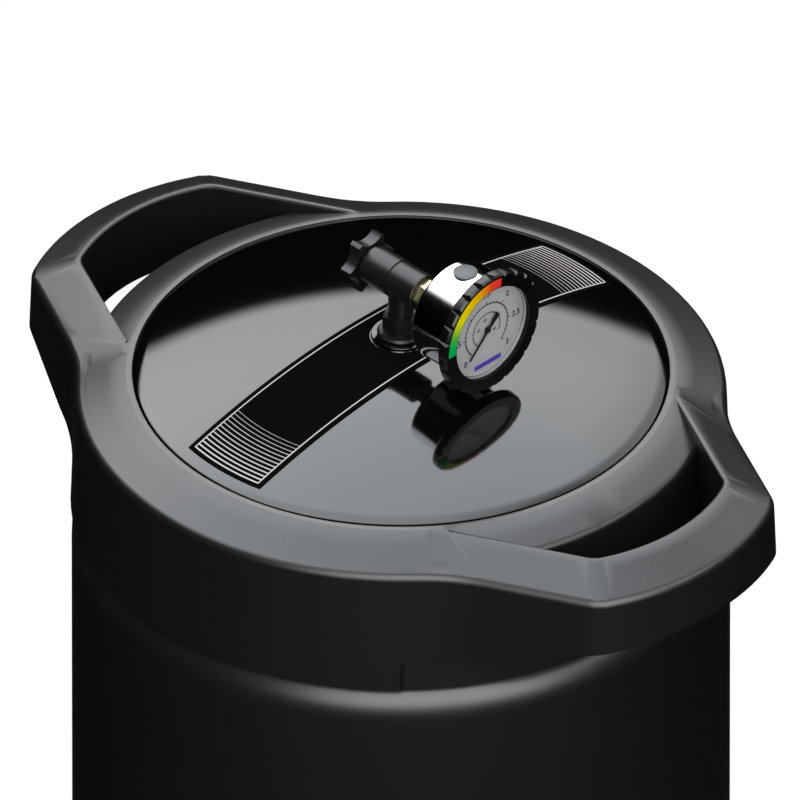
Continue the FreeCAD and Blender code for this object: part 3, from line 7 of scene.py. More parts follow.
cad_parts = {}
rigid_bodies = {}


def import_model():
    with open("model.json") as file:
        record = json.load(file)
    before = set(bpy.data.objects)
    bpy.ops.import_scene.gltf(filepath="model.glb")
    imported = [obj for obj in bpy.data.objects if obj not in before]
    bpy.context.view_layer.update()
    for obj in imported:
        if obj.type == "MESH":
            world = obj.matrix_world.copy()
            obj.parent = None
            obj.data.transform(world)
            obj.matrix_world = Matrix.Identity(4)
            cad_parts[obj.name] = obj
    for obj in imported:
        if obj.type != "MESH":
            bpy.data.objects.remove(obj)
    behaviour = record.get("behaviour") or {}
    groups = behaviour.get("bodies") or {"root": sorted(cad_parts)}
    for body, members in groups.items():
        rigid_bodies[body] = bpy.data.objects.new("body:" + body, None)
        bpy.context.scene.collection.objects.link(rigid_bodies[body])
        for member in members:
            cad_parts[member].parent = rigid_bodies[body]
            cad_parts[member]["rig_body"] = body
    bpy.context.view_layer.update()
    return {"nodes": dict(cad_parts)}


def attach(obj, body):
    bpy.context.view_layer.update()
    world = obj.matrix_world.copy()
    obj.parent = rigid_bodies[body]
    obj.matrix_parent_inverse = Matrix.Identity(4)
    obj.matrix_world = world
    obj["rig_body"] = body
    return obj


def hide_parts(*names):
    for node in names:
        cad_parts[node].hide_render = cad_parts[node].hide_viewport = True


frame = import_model()
scene = bpy.context.scene
scene.view_settings.view_transform = "Standard"
bpy.ops.object.select_all(action="DESELECT")
MM = 0.001

# Camera: a very long lens 18 m away, because the photo shows hardly any perspective. It looks down
# at the corner between the front handle and the outlet, aimed from the middle of the ring's lip.
TURNED_BY, LIFTED_BY = math.radians(45), math.radians(35.4)
DISTANCE, SEEN_WIDTH, FARTHEST = 18, 0.4308, 20000
AIM_LOWER, AIM_LEFT = 0.016155, 0.00054
LIP = 700
back = Vector((math.sin(TURNED_BY) * math.cos(LIFTED_BY), -math.cos(TURNED_BY) * math.cos(LIFTED_BY),
               math.sin(LIFTED_BY)))
right = Vector((math.cos(TURNED_BY), math.sin(TURNED_BY), 0))
above = back.cross(right)
lip_middle = Vector((0, 0, LIP * MM))
aim = lip_middle - above * AIM_LOWER - right * AIM_LEFT
bpy.ops.object.camera_add(location=aim + back * DISTANCE, rotation=back.to_track_quat("Z", "Y").to_euler())
scene.camera = bpy.context.object
scene.camera.data.lens = scene.camera.data.sensor_width * DISTANCE / SEEN_WIDTH
scene.camera.data.clip_end = FARTHEST


# Studio: a pale floor under white surroundings, one wide soft lamp overhead, and a dark tent that
# only reflections see. The tent has three soft lights: a wide one behind and above, which grows
# weaker to the right and low at the back, a box in front and a card at the right.
def adder(tree):
    """A short way to add a shader node to a tree and to set or link its sockets."""
    def add(kind, **inputs):
        node = tree.nodes.new("ShaderNode" + kind)
        for key, value in inputs.items():
            if hasattr(node, key):
                setattr(node, key, value)
                continue
            socket = node.inputs[int(key[1:]) if key[1:].isdigit() else key.replace("_", " ")]
            if isinstance(value, bpy.types.NodeSocket):
                tree.links.new(value, socket)
            else:
                socket.default_value = value
        return node
    return add


def emptied(holder):
    """The adder of a world or a finish, whose node tree is emptied first."""
    holder.use_nodes = True
    holder.node_tree.nodes.clear()
    return adder(holder.node_tree)


def finish_of(name):
    """A new finish and its adder."""
    finish = bpy.data.materials.new(name)
    return finish, emptied(finish)


def ramp_of(add, value, first, *others):
    """A colour that follows a value through marks, each a place from 0 to 1 and its colour."""
    ramp = add("ValToRGB", Fac=value)
    marks = ramp.color_ramp.elements
    marks[0].position, marks[0].color = first[0], (*first[1], 1)
    marks[1].position, marks[1].color = others[-1][0], (*others[-1][1], 1)
    for spot, colour in others[:-1]:
        marks.new(spot).color = (*colour, 1)
    return ramp.outputs[0]


# These and all later helpers that call add use the adder of the world or finish being made.
def math_of(kind, *values):
    return add("Math", operation=kind, **{f"i{n}": value for n, value in enumerate(values)}).outputs[0]


def ray_is(*kinds):
    """1 for a ray of one of the kinds, else 0."""
    path = add("LightPath")
    found = 0
    for kind in kinds:
        found = math_of("MAXIMUM", found, path.outputs[f"Is {kind} Ray"])
    return found


scene.world = bpy.data.worlds.new("white_surroundings")
add = emptied(scene.world)
SOFT_LEVEL, WHITE_LEVEL = 0.6, 1.0
seen = ray_is("Camera", "Glossy", "Transmission")
level = add("MapRange", Value=seen, To_Min=SOFT_LEVEL, To_Max=WHITE_LEVEL)
add("OutputWorld", Surface=add("Background", Color=(1, 1, 1, 1), Strength=level.outputs[0]).outputs[0])

FLOOR_RADIUS, FLOOR_GLOW = 9, 0.4
bpy.ops.mesh.primitive_circle_add(vertices=96, radius=FLOOR_RADIUS, fill_type="NGON")
floor = bpy.context.object
floor.name = "floor"
floor.visible_glossy = False
floor_paint, add = finish_of("floor_paint")
glow = math_of("MULTIPLY", ray_is("Camera", "Transmission"), FLOOR_GLOW)
lit = add("BsdfDiffuse", Color=(0.86, 0.86, 0.86, 1))
white = add("Emission", Color=(1, 1, 1, 1), Strength=glow)
add("OutputMaterial", Surface=add("AddShader", i0=lit.outputs[0], i1=white.outputs[0]).outputs[0])
floor.data.materials.append(floor_paint)

bpy.ops.object.light_add(type="AREA", location=(0.6, -0.9, 3.4))
lamp = bpy.context.object
lamp.rotation_euler = (lamp.location - lip_middle).to_track_quat("Z", "Y").to_euler()
lamp.data.shape = "DISK"
lamp.data.size = 2.6
lamp.data.energy = 34
lamp.visible_glossy = False

TENT_RADIUS = 8
bpy.ops.mesh.primitive_uv_sphere_add(segments=96, ring_count=48, radius=TENT_RADIUS, location=lip_middle)
tent = bpy.context.object
tent.name = "reflection_tent"
bpy.ops.object.shade_smooth()
for other in ("camera", "diffuse", "transmission", "shadow", "volume_scatter"):
    setattr(tent, "visible_" + other, False)
tent_cloth, add = finish_of("tent_cloth")
place = add("VectorMath", operation="NORMALIZE", i0=add("TexCoord").outputs["Object"]).outputs[0]
height = add("SeparateXYZ", Vector=place).outputs["Z"]


def share_along(direction):
    return add("VectorMath", operation="DOT_PRODUCT", i0=place, i1=direction).outputs["Value"]


def off_from(value, middle):
    return math_of("ABSOLUTE", math_of("SUBTRACT", value, middle))


def fade(value, start, end, low=0.0, high=1.0):
    """From low at the start to high at the end, which may lie before the start."""
    return add("MapRange", interpolation_type="SMOOTHSTEP", Value=value, From_Min=start, From_Max=end,
               To_Min=low, To_Max=high).outputs[0]


def light_of(strength, *fades):
    for part in fades:
        strength = math_of("MULTIPLY", strength, part)
    return strength


rightward = share_along(right)
forward = share_along(Vector((back.x, back.y, 0)).normalized())
above_floor = math_of("DEGREES", math_of("ARCSINE", height))
to_right = math_of("DEGREES", math_of("ARCTAN2", rightward, forward))
lean = math_of("DIVIDE", forward, math_of("MAXIMUM", height, 0.01))
bottom_line = math_of("ADD", above_floor, math_of("MULTIPLY", rightward, 3))
WIDE_LIGHT_LEFT, WIDE_LIGHT_RIGHT = 5.5, 4.4
BOX_LIGHT, BOX_TO_RIGHT = 7, 12
CARD_LIGHT, CARD_TO_RIGHT = 4.1, 73
wide_light = add("MapRange", Value=rightward, From_Min=-0.6, From_Max=0.27, To_Min=WIDE_LIGHT_LEFT,
                 To_Max=WIDE_LIGHT_RIGHT).outputs[0]
weaker_right = fade(rightward, 0.27, 0.5, 1, 0.45)
weaker_back = fade(lean, -2, -0.7, 0.82, 1.28)
weaker_top = fade(lean, -0.4, -0.2, 1, 0.84)
by_handle = math_of("MULTIPLY", fade(lean, -0.5, -0.3), fade(rightward, 0.05, 0.35))
weaker_by_handle = math_of("SUBTRACT", 1, math_of("MULTIPLY", by_handle, 0.3))
overhead = light_of(wide_light, weaker_right, weaker_back, weaker_top, weaker_by_handle,
                    fade(bottom_line, 22.2, 26.2), fade(lean, 0.4, 0.2), fade(rightward, -0.8, -0.55))
front_box = light_of(BOX_LIGHT, fade(off_from(to_right, BOX_TO_RIGHT), 56, 24), fade(above_floor, -4, 12),
                     fade(above_floor, 62, 50))
right_card = light_of(CARD_LIGHT, fade(off_from(to_right, CARD_TO_RIGHT), 22, 14), fade(above_floor, 18, 24),
                      fade(above_floor, 50, 42))
strength = math_of("MAXIMUM", overhead, math_of("MAXIMUM", front_box, right_card))
tint = ramp_of(add, height, (0.5, (1, 1, 0.985)), (0.85, (0.9, 0.95, 1)))
add("OutputMaterial", Surface=add("Emission", Color=tint, Strength=strength).outputs[0])
tent.data.materials.append(tent_cloth)


# Tank: one black moulded shell with shoulder, neck, two ports and a drain boss. The mould leaves a
# satin skin with a very fine grain. It stands on the base and carries everything else. The round of
# its shoulder is drawn out a little downwards, as the photo shows it.
def alone(piece):
    """Only this piece is selected and active."""
    bpy.ops.object.select_all(action="DESELECT")
    piece.select_set(True)
    bpy.context.view_layer.objects.active = piece


def moulded(name, colour, shade, roughness, spread=0.04, grain=900, depth=0.06, **sockets):
    """Plastic or metal with a slow change of colour and gloss and a fine grain in its skin."""
    finish, add = finish_of(name)
    where = add("TexCoord").outputs["Object"]
    slow = add("TexNoise", Vector=where, Scale=9, Detail=4).outputs["Fac"]
    fine = add("TexNoise", Vector=where, Scale=grain, Detail=2).outputs["Fac"]
    tone = ramp_of(add, slow, (0.35, shade), (0.65, colour))
    gloss = add("MapRange", Value=slow, From_Min=0.3, From_Max=0.7,
                To_Min=roughness + spread / 2, To_Max=roughness - spread / 2)
    skin = add("Bump", Strength=depth, Distance=0.0004, Height=fine)
    shader = add("BsdfPrincipled", Base_Color=tone, Roughness=gloss.outputs[0], Normal=skin.outputs[0],
                 **sockets)
    add("OutputMaterial", Surface=shader.outputs[0])
    return finish


CREASE = math.radians(28)


def dressed(node, skin):
    """A joined and smoothed copy of a piece of the frame, which is shown in its place."""
    solid = frame["nodes"][node]
    piece = bpy.data.objects.new(node + "_skin", solid.data.copy())
    scene.collection.objects.link(piece)
    alone(piece)
    bpy.ops.object.mode_set(mode="EDIT")
    bpy.ops.mesh.select_all(action="SELECT")
    bpy.ops.mesh.remove_doubles(threshold=1e-6)
    bpy.ops.object.mode_set(mode="OBJECT")
    if piece.data.has_custom_normals:
        bpy.ops.mesh.customdata_custom_splitnormals_clear()
    bpy.ops.object.shade_smooth_by_angle(angle=CREASE)
    piece.data.materials.clear()
    piece.data.materials.append(skin)
    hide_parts(node)
    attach(piece, solid["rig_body"])
    return piece


def painted(node, skin):
    """A piece of the frame that stays, with its own finish."""
    data = frame["nodes"][node].data
    data.materials.clear()
    data.materials.append(skin)


def chosen(piece, kind, wanted):
    """In edit mode, only the points or edges that pass a test are selected."""
    if bpy.context.mode != "OBJECT":
        bpy.ops.object.mode_set(mode="OBJECT")
    alone(piece)
    bpy.ops.object.mode_set(mode="EDIT")
    bpy.ops.mesh.select_mode(type=kind)
    bpy.ops.mesh.select_all(action="DESELECT")
    bpy.ops.object.mode_set(mode="OBJECT")
    for part in (piece.data.vertices if kind == "VERT" else piece.data.edges):
        part.select = wanted(part)
    bpy.ops.object.mode_set(mode="EDIT")


def smoothed():
    """The piece in edit mode is done, and its smooth shading is worked out again."""
    bpy.ops.mesh.select_mode(type="VERT")
    bpy.ops.object.mode_set(mode="OBJECT")
    bpy.ops.object.shade_smooth_by_angle(angle=CREASE)


tank_skin = moulded("tank_plastic_skin", (0.0072, 0.0072, 0.0076), (0.0055, 0.0055, 0.0058), 0.34)
tank = dressed("tank_body", tank_skin)
SHOULDER_TOP, SHOULDER_FOOT, SHOULDER_MIDDLE, SHOULDER_ROUND = 613, 597, 162, 16
DRAWN_OUT, LET_DOWN = 1.333, 3.6


def on_shoulder(point):
    out, high = point.co.xy.length / MM, point.co.z / MM
    off_round = math.hypot(out - SHOULDER_MIDDLE, high - SHOULDER_FOOT) - SHOULDER_ROUND
    in_corner = out > SHOULDER_MIDDLE - 0.1 and high > SHOULDER_FOOT - 0.1
    return abs(high - SHOULDER_TOP) < 0.05 or (abs(off_round) < 0.2 and in_corner)


chosen(tank, "VERT", on_shoulder)
bpy.ops.transform.resize(value=(1, 1, DRAWN_OUT), center_override=(0, 0, SHOULDER_FOOT * MM))
bpy.ops.transform.translate(value=(0, 0, -LET_DOWN * MM))
smoothed()

# Base: a black moulded skirt with a foot and four ears, screwed to the tank from below with four
# stainless screws.
base_skin = moulded("base_plastic_skin", (0.0085, 0.0085, 0.009), (0.0065, 0.0065, 0.007), 0.5, depth=0.12)
dressed("base_stand", base_skin)
steel_skin = moulded("stainless_skin", (0.55, 0.54, 0.52), (0.45, 0.44, 0.43), 0.28, grain=1500, Metallic=1)
dressed("base_screws", steel_skin)

# Water way inside: outlet pipe with its flange and spigot, the basket over the inlet and the air
# relief tube with its strainer, all white moulded plastic.
inner_skin = moulded("inner_plastic_skin", (0.62, 0.62, 0.6), (0.56, 0.56, 0.54), 0.4)
for node in ("outlet_manifold", "inlet_diffuser", "air_bleed_tube", "air_screen"):
    painted(node, inner_skin)

# Cartridge: blue cast end caps on pleated white filter cloth round a slotted plastic core. It stands
# on the flange of the outlet pipe.
cap_skin = moulded("cap_polymer_skin", (0.02, 0.09, 0.3), (0.016, 0.07, 0.25), 0.45)
for node in ("cartridge_bottom_cap", "cartridge_top_cap"):
    painted(node, cap_skin)
painted("cartridge_core", inner_skin)
cloth_skin, add = finish_of("filter_cloth_skin")
fibres = add("TexNoise", Vector=add("TexCoord").outputs["Object"], Scale=700, Detail=8, Roughness=0.7)
tone = ramp_of(add, fibres.outputs["Fac"], (0, (0.6, 0.61, 0.62)), (1, (0.8, 0.81, 0.82)))
felt = add("Bump", Strength=0.4, Distance=0.0006, Height=fibres.outputs["Fac"])
shader = add("BsdfPrincipled", Base_Color=tone, Roughness=0.9, Normal=felt.outputs[0])
add("OutputMaterial", Surface=shader.outputs[0])
painted("cartridge_pleats", cloth_skin)

# Seals: O-rings and flat seals of black rubber, pressed between the pieces, and the grey rubber plug
# pushed into the top of the gauge's case.
rubber_skin = moulded("seal_rubber_skin", (0.012, 0.012, 0.012), (0.009, 0.009, 0.009), 0.6)
for node in ("lid_oring", "manifold_oring", "bleed_seal", "drain_oring", "inlet_oring", "outlet_oring",
             "gauge_seal"):
    painted(node, rubber_skin)
vent_skin = moulded("vent_rubber_skin", (0.11, 0.115, 0.12), (0.09, 0.095, 0.1), 0.5)
dressed("gauge_vent_plug", vent_skin)

# Lid: a domed black moulding polished like glass, with a flange under the ring, a spigot in the
# neck and a boss for the gauge tee. Its shape is turned, ring by ring.
DOME_RADIUS, DOME_TOP, DOME_EDGE, DOME_STEPS = 470, 723, 143.2, 24
BOSS_RADIUS, LID_WALL, LID_SEGMENTS = 16, 6, 256


def dome(radius, sphere=DOME_RADIUS):
    """Height of the dome, or of a surface at another distance from its centre."""
    return DOME_TOP - DOME_RADIUS + math.sqrt(sphere ** 2 - radius ** 2)


def turned(name, rings, segments):
    """A closed shape of rings, each extruded from the last one and resized to its own radius."""
    first, place = rings[0]
    bpy.ops.object.select_all(action="DESELECT")
    bpy.ops.mesh.primitive_circle_add(vertices=segments, radius=first * MM, location=(0, 0, place * MM))
    piece = bpy.context.object
    piece.name = name
    bpy.ops.object.transform_apply(location=True, rotation=False, scale=False)
    bpy.ops.object.mode_set(mode="EDIT")
    bpy.ops.mesh.select_all(action="SELECT")
    radius = first
    for wide, high in rings[1:] + rings[:1]:
        bpy.ops.mesh.extrude_region_move(TRANSFORM_OT_translate={"value": (0, 0, (high - place) * MM)})
        bpy.ops.transform.resize(value=(wide / radius, wide / radius, 1), center_override=(0, 0, high * MM))
        radius, place = wide, high
    bpy.ops.mesh.select_all(action="SELECT")
    bpy.ops.mesh.remove_doubles(threshold=1e-6)
    bpy.ops.mesh.normals_make_consistent(inside=False)
    bpy.ops.object.mode_set(mode="OBJECT")
    bpy.ops.object.shade_smooth_by_angle(angle=CREASE)
    return piece


boss = [(9.2, 725), (15.4, 725), (15.8, 724.9), (16, 724.5), (16, 723.3), (16.3, 722.9)]
outside = []
for step in range(1, DOME_STEPS + 1):
    radius = BOSS_RADIUS + (DOME_EDGE - BOSS_RADIUS) * step / DOME_STEPS
    outside.append((radius, dome(radius)))
seam = [(143.8, dome(143.8) - 0.3), (144, dome(144) - 1), (144, 695.5)]
flange = [(156.6, 690.8), (157, 690.3), (157, 684.3), (151.7, 684.3)]
groove = [(151.7, 679.3), (146.85, 679.3), (146.85, 673.7), (151.7, 673.7)]
spigot = [(151.7, 668.3), (141.7, 668.3), (139.7, 690)]
inside = [(radius, dome(radius, DOME_RADIUS - LID_WALL)) for radius in (134, 120, 100, 80, 60, 40, 22)]
boss_foot = [(22, 714), (9.2, 714)]
lid = turned("lid_shell", boss + outside + seam + flange + groove + spigot + inside + boss_foot, LID_SEGMENTS)
lid_skin = moulded("lid_gloss_skin", (0.0026, 0.0026, 0.0028), (0.0022, 0.0022, 0.0024), 0.06, spread=0.02,
                   grain=60, depth=0.004)
lid.data.materials.append(lid_skin)
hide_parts("lid")
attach(lid, "lid")


# Label band: a thin black film glued across the dome, printed with a white border and, at each
# end, a fan of fine white lines that grow thinner inwards. The middle is left bare.
def parts_of(where):
    """The three parts of a place, and how far it lies from the tank's axis."""
    parts = add("SeparateXYZ", Vector=where).outputs
    flat = add("CombineXYZ", X=parts["X"], Y=parts["Y"])
    return parts, add("VectorMath", operation="LENGTH", i0=flat.outputs[0]).outputs["Value"]


def within(value, middle, half, edge=0.00012):
    """1 where a value lies within a half width of a middle, with a soft edge."""
    off = off_from(value, middle)
    return add("MapRange", Value=off, From_Min=half + edge, From_Max=half - edge).outputs[0]


def both(a, b):
    return math_of("MULTIPLY", a, b)


def either(a, b):
    return math_of("MAXIMUM", a, b)


SIDE_LINE, SIDE_HALF, SIDE_LINE_ENDS = 0.0238, 0.00035, 0.1345
END_LINE, END_HALF = 0.1342, 0.0004
FINE_LINES, LINE_GAP, THINNER_BY = 12, 0.0026, 0.000027
label_skin, add = finish_of("label_film_skin")
where = add("TexCoord").outputs["Object"]
parts, out = parts_of(where)
across = math_of("ABSOLUTE", parts["X"])
between_sides = within(across, 0, SIDE_LINE)
printed = either(both(within(across, SIDE_LINE, SIDE_HALF), within(out, 0, SIDE_LINE_ENDS)),
                 both(within(out, END_LINE, END_HALF), between_sides))
for line in range(FINE_LINES):
    fine_line = within(out, END_LINE - LINE_GAP * (line + 1), END_HALF - THINNER_BY * line)
    printed = either(printed, both(fine_line, between_sides))
film = add("TexNoise", Vector=where, Scale=240, Detail=3)
tone = add("Mix", data_type="RGBA", i0=printed, i6=(0.005, 0.005, 0.0055, 1), i7=(0.8, 0.8, 0.8, 1))
gloss = add("MapRange", Value=film.outputs["Fac"], To_Min=0.55, To_Max=0.65)
shader = add("BsdfPrincipled", Base_Color=tone.outputs[2], Roughness=gloss.outputs[0], Specular_IOR_Level=0.0)
add("OutputMaterial", Surface=shader.outputs[0])
dressed("label_band", label_skin)

# Lock ring: one black moulding with two looped handles, a skirt and four locking lugs inside. Its
# top slopes as one even cone from the lip to a rounded outer edge, and the hand holes are rounded
# too. It has the same satin skin as the tank, with a thin paler line painted along the lip as a highlight.
PAINTED_HIGHLIGHT_LINE, PAINTED_HIGHLIGHT_HALF, PAINTED_HIGHLIGHT_EDGE = 0.1468, 0.0013, 0.0005
ring_skin = moulded("ring_plastic_skin", (0.0075, 0.0075, 0.008), (0.006, 0.006, 0.0063), 0.34,
                    Specular_IOR_Level=0.46)
add = adder(ring_skin.node_tree)
shader = next(node for node in ring_skin.node_tree.nodes if node.type == "BSDF_PRINCIPLED")
plain = shader.inputs["Base Color"].links[0].from_socket
# Painted highlight: a thin paler ring on the top of the lip stands in for the light caught along the lip's
# edge.
parts, out = parts_of(add("TexCoord").outputs["Object"])
on_top = add("MapRange", Value=parts["Z"], From_Min=(LIP - 1.5) * MM, From_Max=(LIP - 0.5) * MM).outputs[0]
painted_highlight = both(within(out, PAINTED_HIGHLIGHT_LINE, PAINTED_HIGHLIGHT_HALF, PAINTED_HIGHLIGHT_EDGE), on_top)
painted_highlight_mix = add("Mix", data_type="RGBA", i0=painted_highlight, i6=plain, i7=(0.055, 0.055, 0.056, 1))
ring_skin.node_tree.links.new(painted_highlight_mix.outputs[2], shader.inputs["Base Color"])
ring = dressed("lock_ring", ring_skin)

# Two rows of points lie up to 1 mm over the cone. They are lowered onto it, and the drop fades out
# where a handle's flank joins.
LIP_OUTSIDE, FALL, INNER_ROW, OUTER_ROW = 149, 0.4377, 158.54, (168, 170.6)
JOIN_ANGLE, JOIN_FADE = 36.7, 2.5
lowered = {}
for point in ring.data.vertices:
    out, high = math.hypot(point.co.x, point.co.y) / MM, point.co.z / MM
    over = high - LIP + (out - LIP_OUTSIDE) * FALL
    past_join = math.degrees(math.atan2(abs(point.co.y), abs(point.co.x))) - JOIN_ANGLE
    drop = round(over * min(max(past_join / JOIN_FADE, 0), 1), 2)
    in_row = OUTER_ROW[0] < out < OUTER_ROW[1] or abs(out - INNER_ROW) < 0.05
    if in_row and 0.1 < over < 1.2 and drop > 0:
        lowered.setdefault(drop, set()).add(point.index)
for drop, points in lowered.items():
    chosen(ring, "VERT", lambda point: point.index in points)
    bpy.ops.transform.translate(value=(0, 0, -drop * MM))


def rounded(radius, segments):
    """The chosen edges are rounded."""
    bpy.ops.mesh.bevel(offset=radius * MM, segments=segments, profile=0.5, affect="EDGES",
                       clamp_overlap=False)


EDGE_HEIGHT, EDGE_ROUND, HAND_ROUND, HANDLES_FROM = 688.4, 3, 1.6, 171
chosen(ring, "EDGE", lambda edge: all(
    abs(ring.data.vertices[n].co.z / MM - EDGE_HEIGHT) < 0.03 for n in edge.vertices))
rounded(EDGE_ROUND, 5)
bpy.ops.object.mode_set(mode="OBJECT")
tops, walls = set(), set()
for face in ring.data.polygons:
    if face.normal.z > 0.75:
        tops.update(face.edge_keys)
    elif abs(face.normal.z) < 0.2 and face.normal.xy.dot(face.center.xy) < 0:
        walls.update(face.edge_keys)
hand_edge = tops & walls
chosen(ring, "EDGE", lambda edge: edge.key in hand_edge and any(
    ring.data.vertices[n].co.xy.length / MM > HANDLES_FROM for n in edge.vertices))
rounded(HAND_ROUND, 3)
smoothed()

# Gauge tee: matt black moulding screwed through the lid's boss, with a washer of the same plastic
# above the lid and a nut below it.
tee_skin = moulded("tee_plastic_skin", (0.009, 0.009, 0.01), (0.007, 0.007, 0.008), 0.31, depth=0.12,
                   Specular_IOR_Level=0.3)
for node in ("gauge_tee", "tee_washer", "tee_lock_nut"):
    dressed(node, tee_skin)

# Bleed knob: star knob and spindle in one matt black moulding, screwed into the back of the tee's
# level barrel.
dressed("bleed_knob", tee_skin)

# Gauge: a brass socket in a chromed case, with bent tube and movement of brass, a white dial, a
# black needle and a clear lens. The dial's scale and its coloured strip are thin flat shapes on it.
brass_skin = moulded("brass_skin", (0.95, 0.88, 0.5), (0.9, 0.82, 0.44), 0.32, grain=1500, Metallic=1)
for node in ("gauge_socket", "gauge_bourdon_tube", "gauge_movement"):
    dressed(node, brass_skin)
chrome_skin = moulded("chrome_skin", (0.78, 0.78, 0.79), (0.74, 0.74, 0.75), 0.1, spread=0.02, grain=1500,
                      depth=0.01, Metallic=1)
dressed("gauge_case", chrome_skin)
dial_skin = moulded("dial_face_skin", (0.62, 0.63, 0.65), (0.6, 0.61, 0.63), 0.5, depth=0.02)
dressed("gauge_dial", dial_skin)
DIAL_FACE, OVER_DIAL, GAUGE_AXIS = 64.2, 0.06, 759.3
SCALE_START, SCALE_SWEEP, SCALE_RADIUS, SCALE_PARTS = 225, 270, 15.8, 30
INNER_SWEEP, INNER_RADIUS, INNER_PARTS = 248, 10.3, 20
NUMBER_RADIUS, NUMBER_SIZE, INNER_NUMBER_RADIUS, INNER_NUMBER_SIZE = 22.3, 5, 6.4, 2.6
LETTER_WEIGHT = 0.025


def dial_sheet(shape, radius, degrees, turn=0.0, long=1.0, wide=1.0):
    """A flat shape laid on the dial's face, its own X axis along +Y and its Y axis up."""
    at = math.radians(degrees)
    place = Vector((DIAL_FACE + OVER_DIAL, radius * math.cos(at), GAUGE_AXIS + radius * math.sin(at))) * MM
    upright = Euler((math.pi / 2, 0, math.pi / 2)).to_matrix().to_4x4()
    facing = Matrix.Rotation(math.radians(turn), 4, "X") @ upright
    shape.matrix_world = Matrix.Translation(place) @ facing @ Matrix.Diagonal((long, wide, 1, 1))
    alone(shape)
    bpy.ops.object.transform_apply(location=True, rotation=True, scale=True)
    return shape


def bar_on_dial(radius, degrees, long, wide, turn=None):
    bpy.ops.mesh.primitive_plane_add(size=MM)
    return dial_sheet(bpy.context.object, radius, degrees, degrees if turn is None else turn, long, wide)


def number_on_dial(text, radius, degrees, size):
    bpy.ops.object.text_add()
    letters = bpy.context.object.data
    letters.body = text
    letters.size = size * MM
    letters.offset = LETTER_WEIGHT * size * MM
    letters.align_x, letters.align_y = "CENTER", "CENTER"
    bpy.ops.object.convert(target="MESH")
    return dial_sheet(bpy.context.object, radius, degrees)


def arc_on_dial(radius, start, sweep, wide):
    """A flat ring from one circle, of which only the sweep is kept."""
    bpy.ops.mesh.primitive_circle_add(vertices=144, radius=(radius - wide / 2) * MM)
    shape = bpy.context.object
    bpy.ops.object.mode_set(mode="EDIT")
    bpy.ops.mesh.extrude_region_move()
    grow = (radius + wide / 2) / (radius - wide / 2)
    bpy.ops.transform.resize(value=(grow, grow, 1))
    bpy.ops.mesh.select_all(action="DESELECT")
    bpy.ops.object.mode_set(mode="OBJECT")
    for face in shape.data.polygons:
        angle = math.degrees(math.atan2(face.center.y, face.center.x))
        face.select = (start - angle) % 360 > sweep
    bpy.ops.object.mode_set(mode="EDIT")
    bpy.ops.mesh.select_mode(type="FACE")
    bpy.ops.mesh.delete(type="FACE")
    bpy.ops.mesh.select_mode(type="VERT")
    bpy.ops.object.mode_set(mode="OBJECT")
    return dial_sheet(shape, 0, 0)


def printed_on_dial(shapes, name, skin):
    """All the shapes joined to one sheet, which moves as the dial does."""
    alone(shapes[0])
    for shape in shapes[1:]:
        shape.select_set(True)
    bpy.ops.object.join()
    sheet = bpy.context.object
    sheet.name = name
    sheet.data.materials.clear()
    sheet.data.materials.append(skin)
    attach(sheet, frame["nodes"]["gauge_dial"]["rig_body"])


scale_print = [arc_on_dial(SCALE_RADIUS, SCALE_START, SCALE_SWEEP, 0.65),
               arc_on_dial(INNER_RADIUS, SCALE_START, INNER_SWEEP, 0.55)]
for step in range(SCALE_PARTS + 1):
    long, at = (2.2 if step % 5 == 0 else 1.1), SCALE_START - SCALE_SWEEP * step / SCALE_PARTS
    scale_print.append(bar_on_dial(SCALE_RADIUS + long / 2, at, long, 0.65))
for step in range(INNER_PARTS + 1):
    long, at = (1.4 if step % 5 == 0 else 0.8), SCALE_START - INNER_SWEEP * step / INNER_PARTS
    scale_print.append(bar_on_dial(INNER_RADIUS - long / 2, at, long, 0.5))
for step, text in enumerate(("0", "0.5", "1", "1.5", "2", "2.5", "3")):
    scale_print.append(number_on_dial(text, NUMBER_RADIUS, SCALE_START - SCALE_SWEEP * step / 6, NUMBER_SIZE))
for step, text in enumerate(("10", "20", "30", "40"), start=1):
    at = SCALE_START - INNER_SWEEP * step / 4
    scale_print.append(number_on_dial(text, INNER_NUMBER_RADIUS, at, INNER_NUMBER_SIZE))
print_skin = moulded("dial_print_skin", (0.03, 0.03, 0.032), (0.025, 0.025, 0.027), 0.5,
                     Specular_IOR_Level=0.1)
printed_on_dial(scale_print, "dial_print", print_skin)
strip_skin = moulded("dial_strip_skin", (0.07, 0.035, 0.6), (0.06, 0.03, 0.55), 0.5)
printed_on_dial([bar_on_dial(22, -87.4, 20, 3, turn=0)], "dial_strip", strip_skin)
needle_skin = moulded("needle_paint_skin", (0.008, 0.008, 0.008), (0.007, 0.007, 0.007), 0.4,
                      Specular_IOR_Level=0.1)
needle = dressed("gauge_needle", needle_skin)
HUB_INSIDE, HUB_OUTSIDE, HUB_SHARE = 2.2, 3.4, 0.55


def on_hub(point):
    return HUB_INSIDE < math.hypot(point.co.y, point.co.z - GAUGE_AXIS * MM) / MM < HUB_OUTSIDE


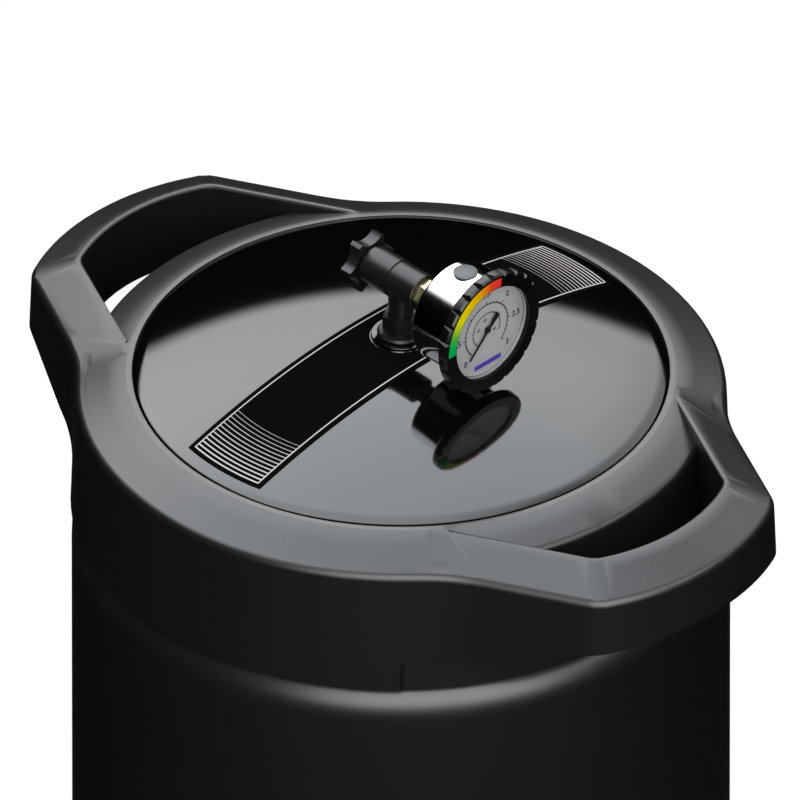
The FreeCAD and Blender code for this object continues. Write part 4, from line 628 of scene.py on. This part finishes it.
chosen(needle, "VERT", on_hub)
bpy.ops.transform.resize(value=(1, HUB_SHARE, HUB_SHARE), center_override=(0, 0, GAUGE_AXIS * MM))
smoothed()
lens_skin, add = finish_of("lens_clear_skin")
haze = add("TexNoise", Vector=add("TexCoord").outputs["Object"], Scale=300)
gloss = add("MapRange", Value=haze.outputs["Fac"], To_Min=0.0, To_Max=0.03)
glass = add("BsdfPrincipled", Base_Color=(1, 1, 1, 1), Roughness=gloss.outputs[0], IOR=1.2,
            Transmission_Weight=1.0)
clear = add("BsdfTransparent", Color=(0.97, 0.97, 0.97, 1))
mixed = add("MixShader", i0=ray_is("Shadow", "Diffuse"), i1=glass.outputs[0], i2=clear.outputs[0])
add("OutputMaterial", Surface=mixed.outputs[0])
dressed("gauge_lens", lens_skin)

# Bezel: a notched grip ring of black plastic that snaps over the case and turns on it. On its front
# is a thin band, printed from red to green.
bezel_skin = moulded("bezel_plastic_skin", (0.004, 0.004, 0.0045), (0.003, 0.003, 0.0035), 0.24, depth=0.08,
                     Specular_IOR_Level=0.3)
dressed("gauge_bezel", bezel_skin)
RED_END, GREEN_END = math.radians(79), math.radians(180)
band_skin, add = finish_of("band_print_skin")
centred = add("Mapping", Vector=add("TexCoord").outputs["Object"], Location=(0, 0, -GAUGE_AXIS * MM))
parts = add("SeparateXYZ", Vector=centred.outputs[0]).outputs
angle = math_of("ARCTAN2", parts["Z"], parts["Y"])
share = add("MapRange", Value=angle, From_Min=RED_END, From_Max=GREEN_END)
colours = ramp_of(add, share.outputs[0], (0.0, (1.0, 0.03, 0.03)), (0.14, (1.0, 0.08, 0.02)),
                  (0.34, (1.0, 0.62, 0.0)), (0.62, (1.0, 0.9, 0.0)), (0.8, (0.08, 0.6, 0.05)),
                  (0.9, (0.0, 0.55, 0.1)), (1.0, (0.0, 0.55, 0.12)))
shader = add("BsdfPrincipled", Base_Color=colours, Roughness=0.5, Specular_IOR_Level=0.0)
add("OutputMaterial", Surface=shader.outputs[0])
dressed("gauge_colour_band", band_skin)

# Drain plug: a hexagon plug with its own flange, moulded in the same black plastic as the base and
# screwed into the tank's drain boss.
dressed("drain_plug", base_skin)

# Unions: a socket tail for 50 mm pipe and a ribbed nut on each port, in grey-black plastic. The nut
# screws onto the port and holds the tail by its flange.
union_skin = moulded("union_plastic_skin", (0.02, 0.021, 0.022), (0.017, 0.018, 0.019), 0.45, depth=0.1)
for side in ("inlet", "outlet"):
    dressed(side + "_tail", union_skin)
    dressed(side + "_nut", union_skin)

bpy.ops.object.select_all(action="DESELECT")
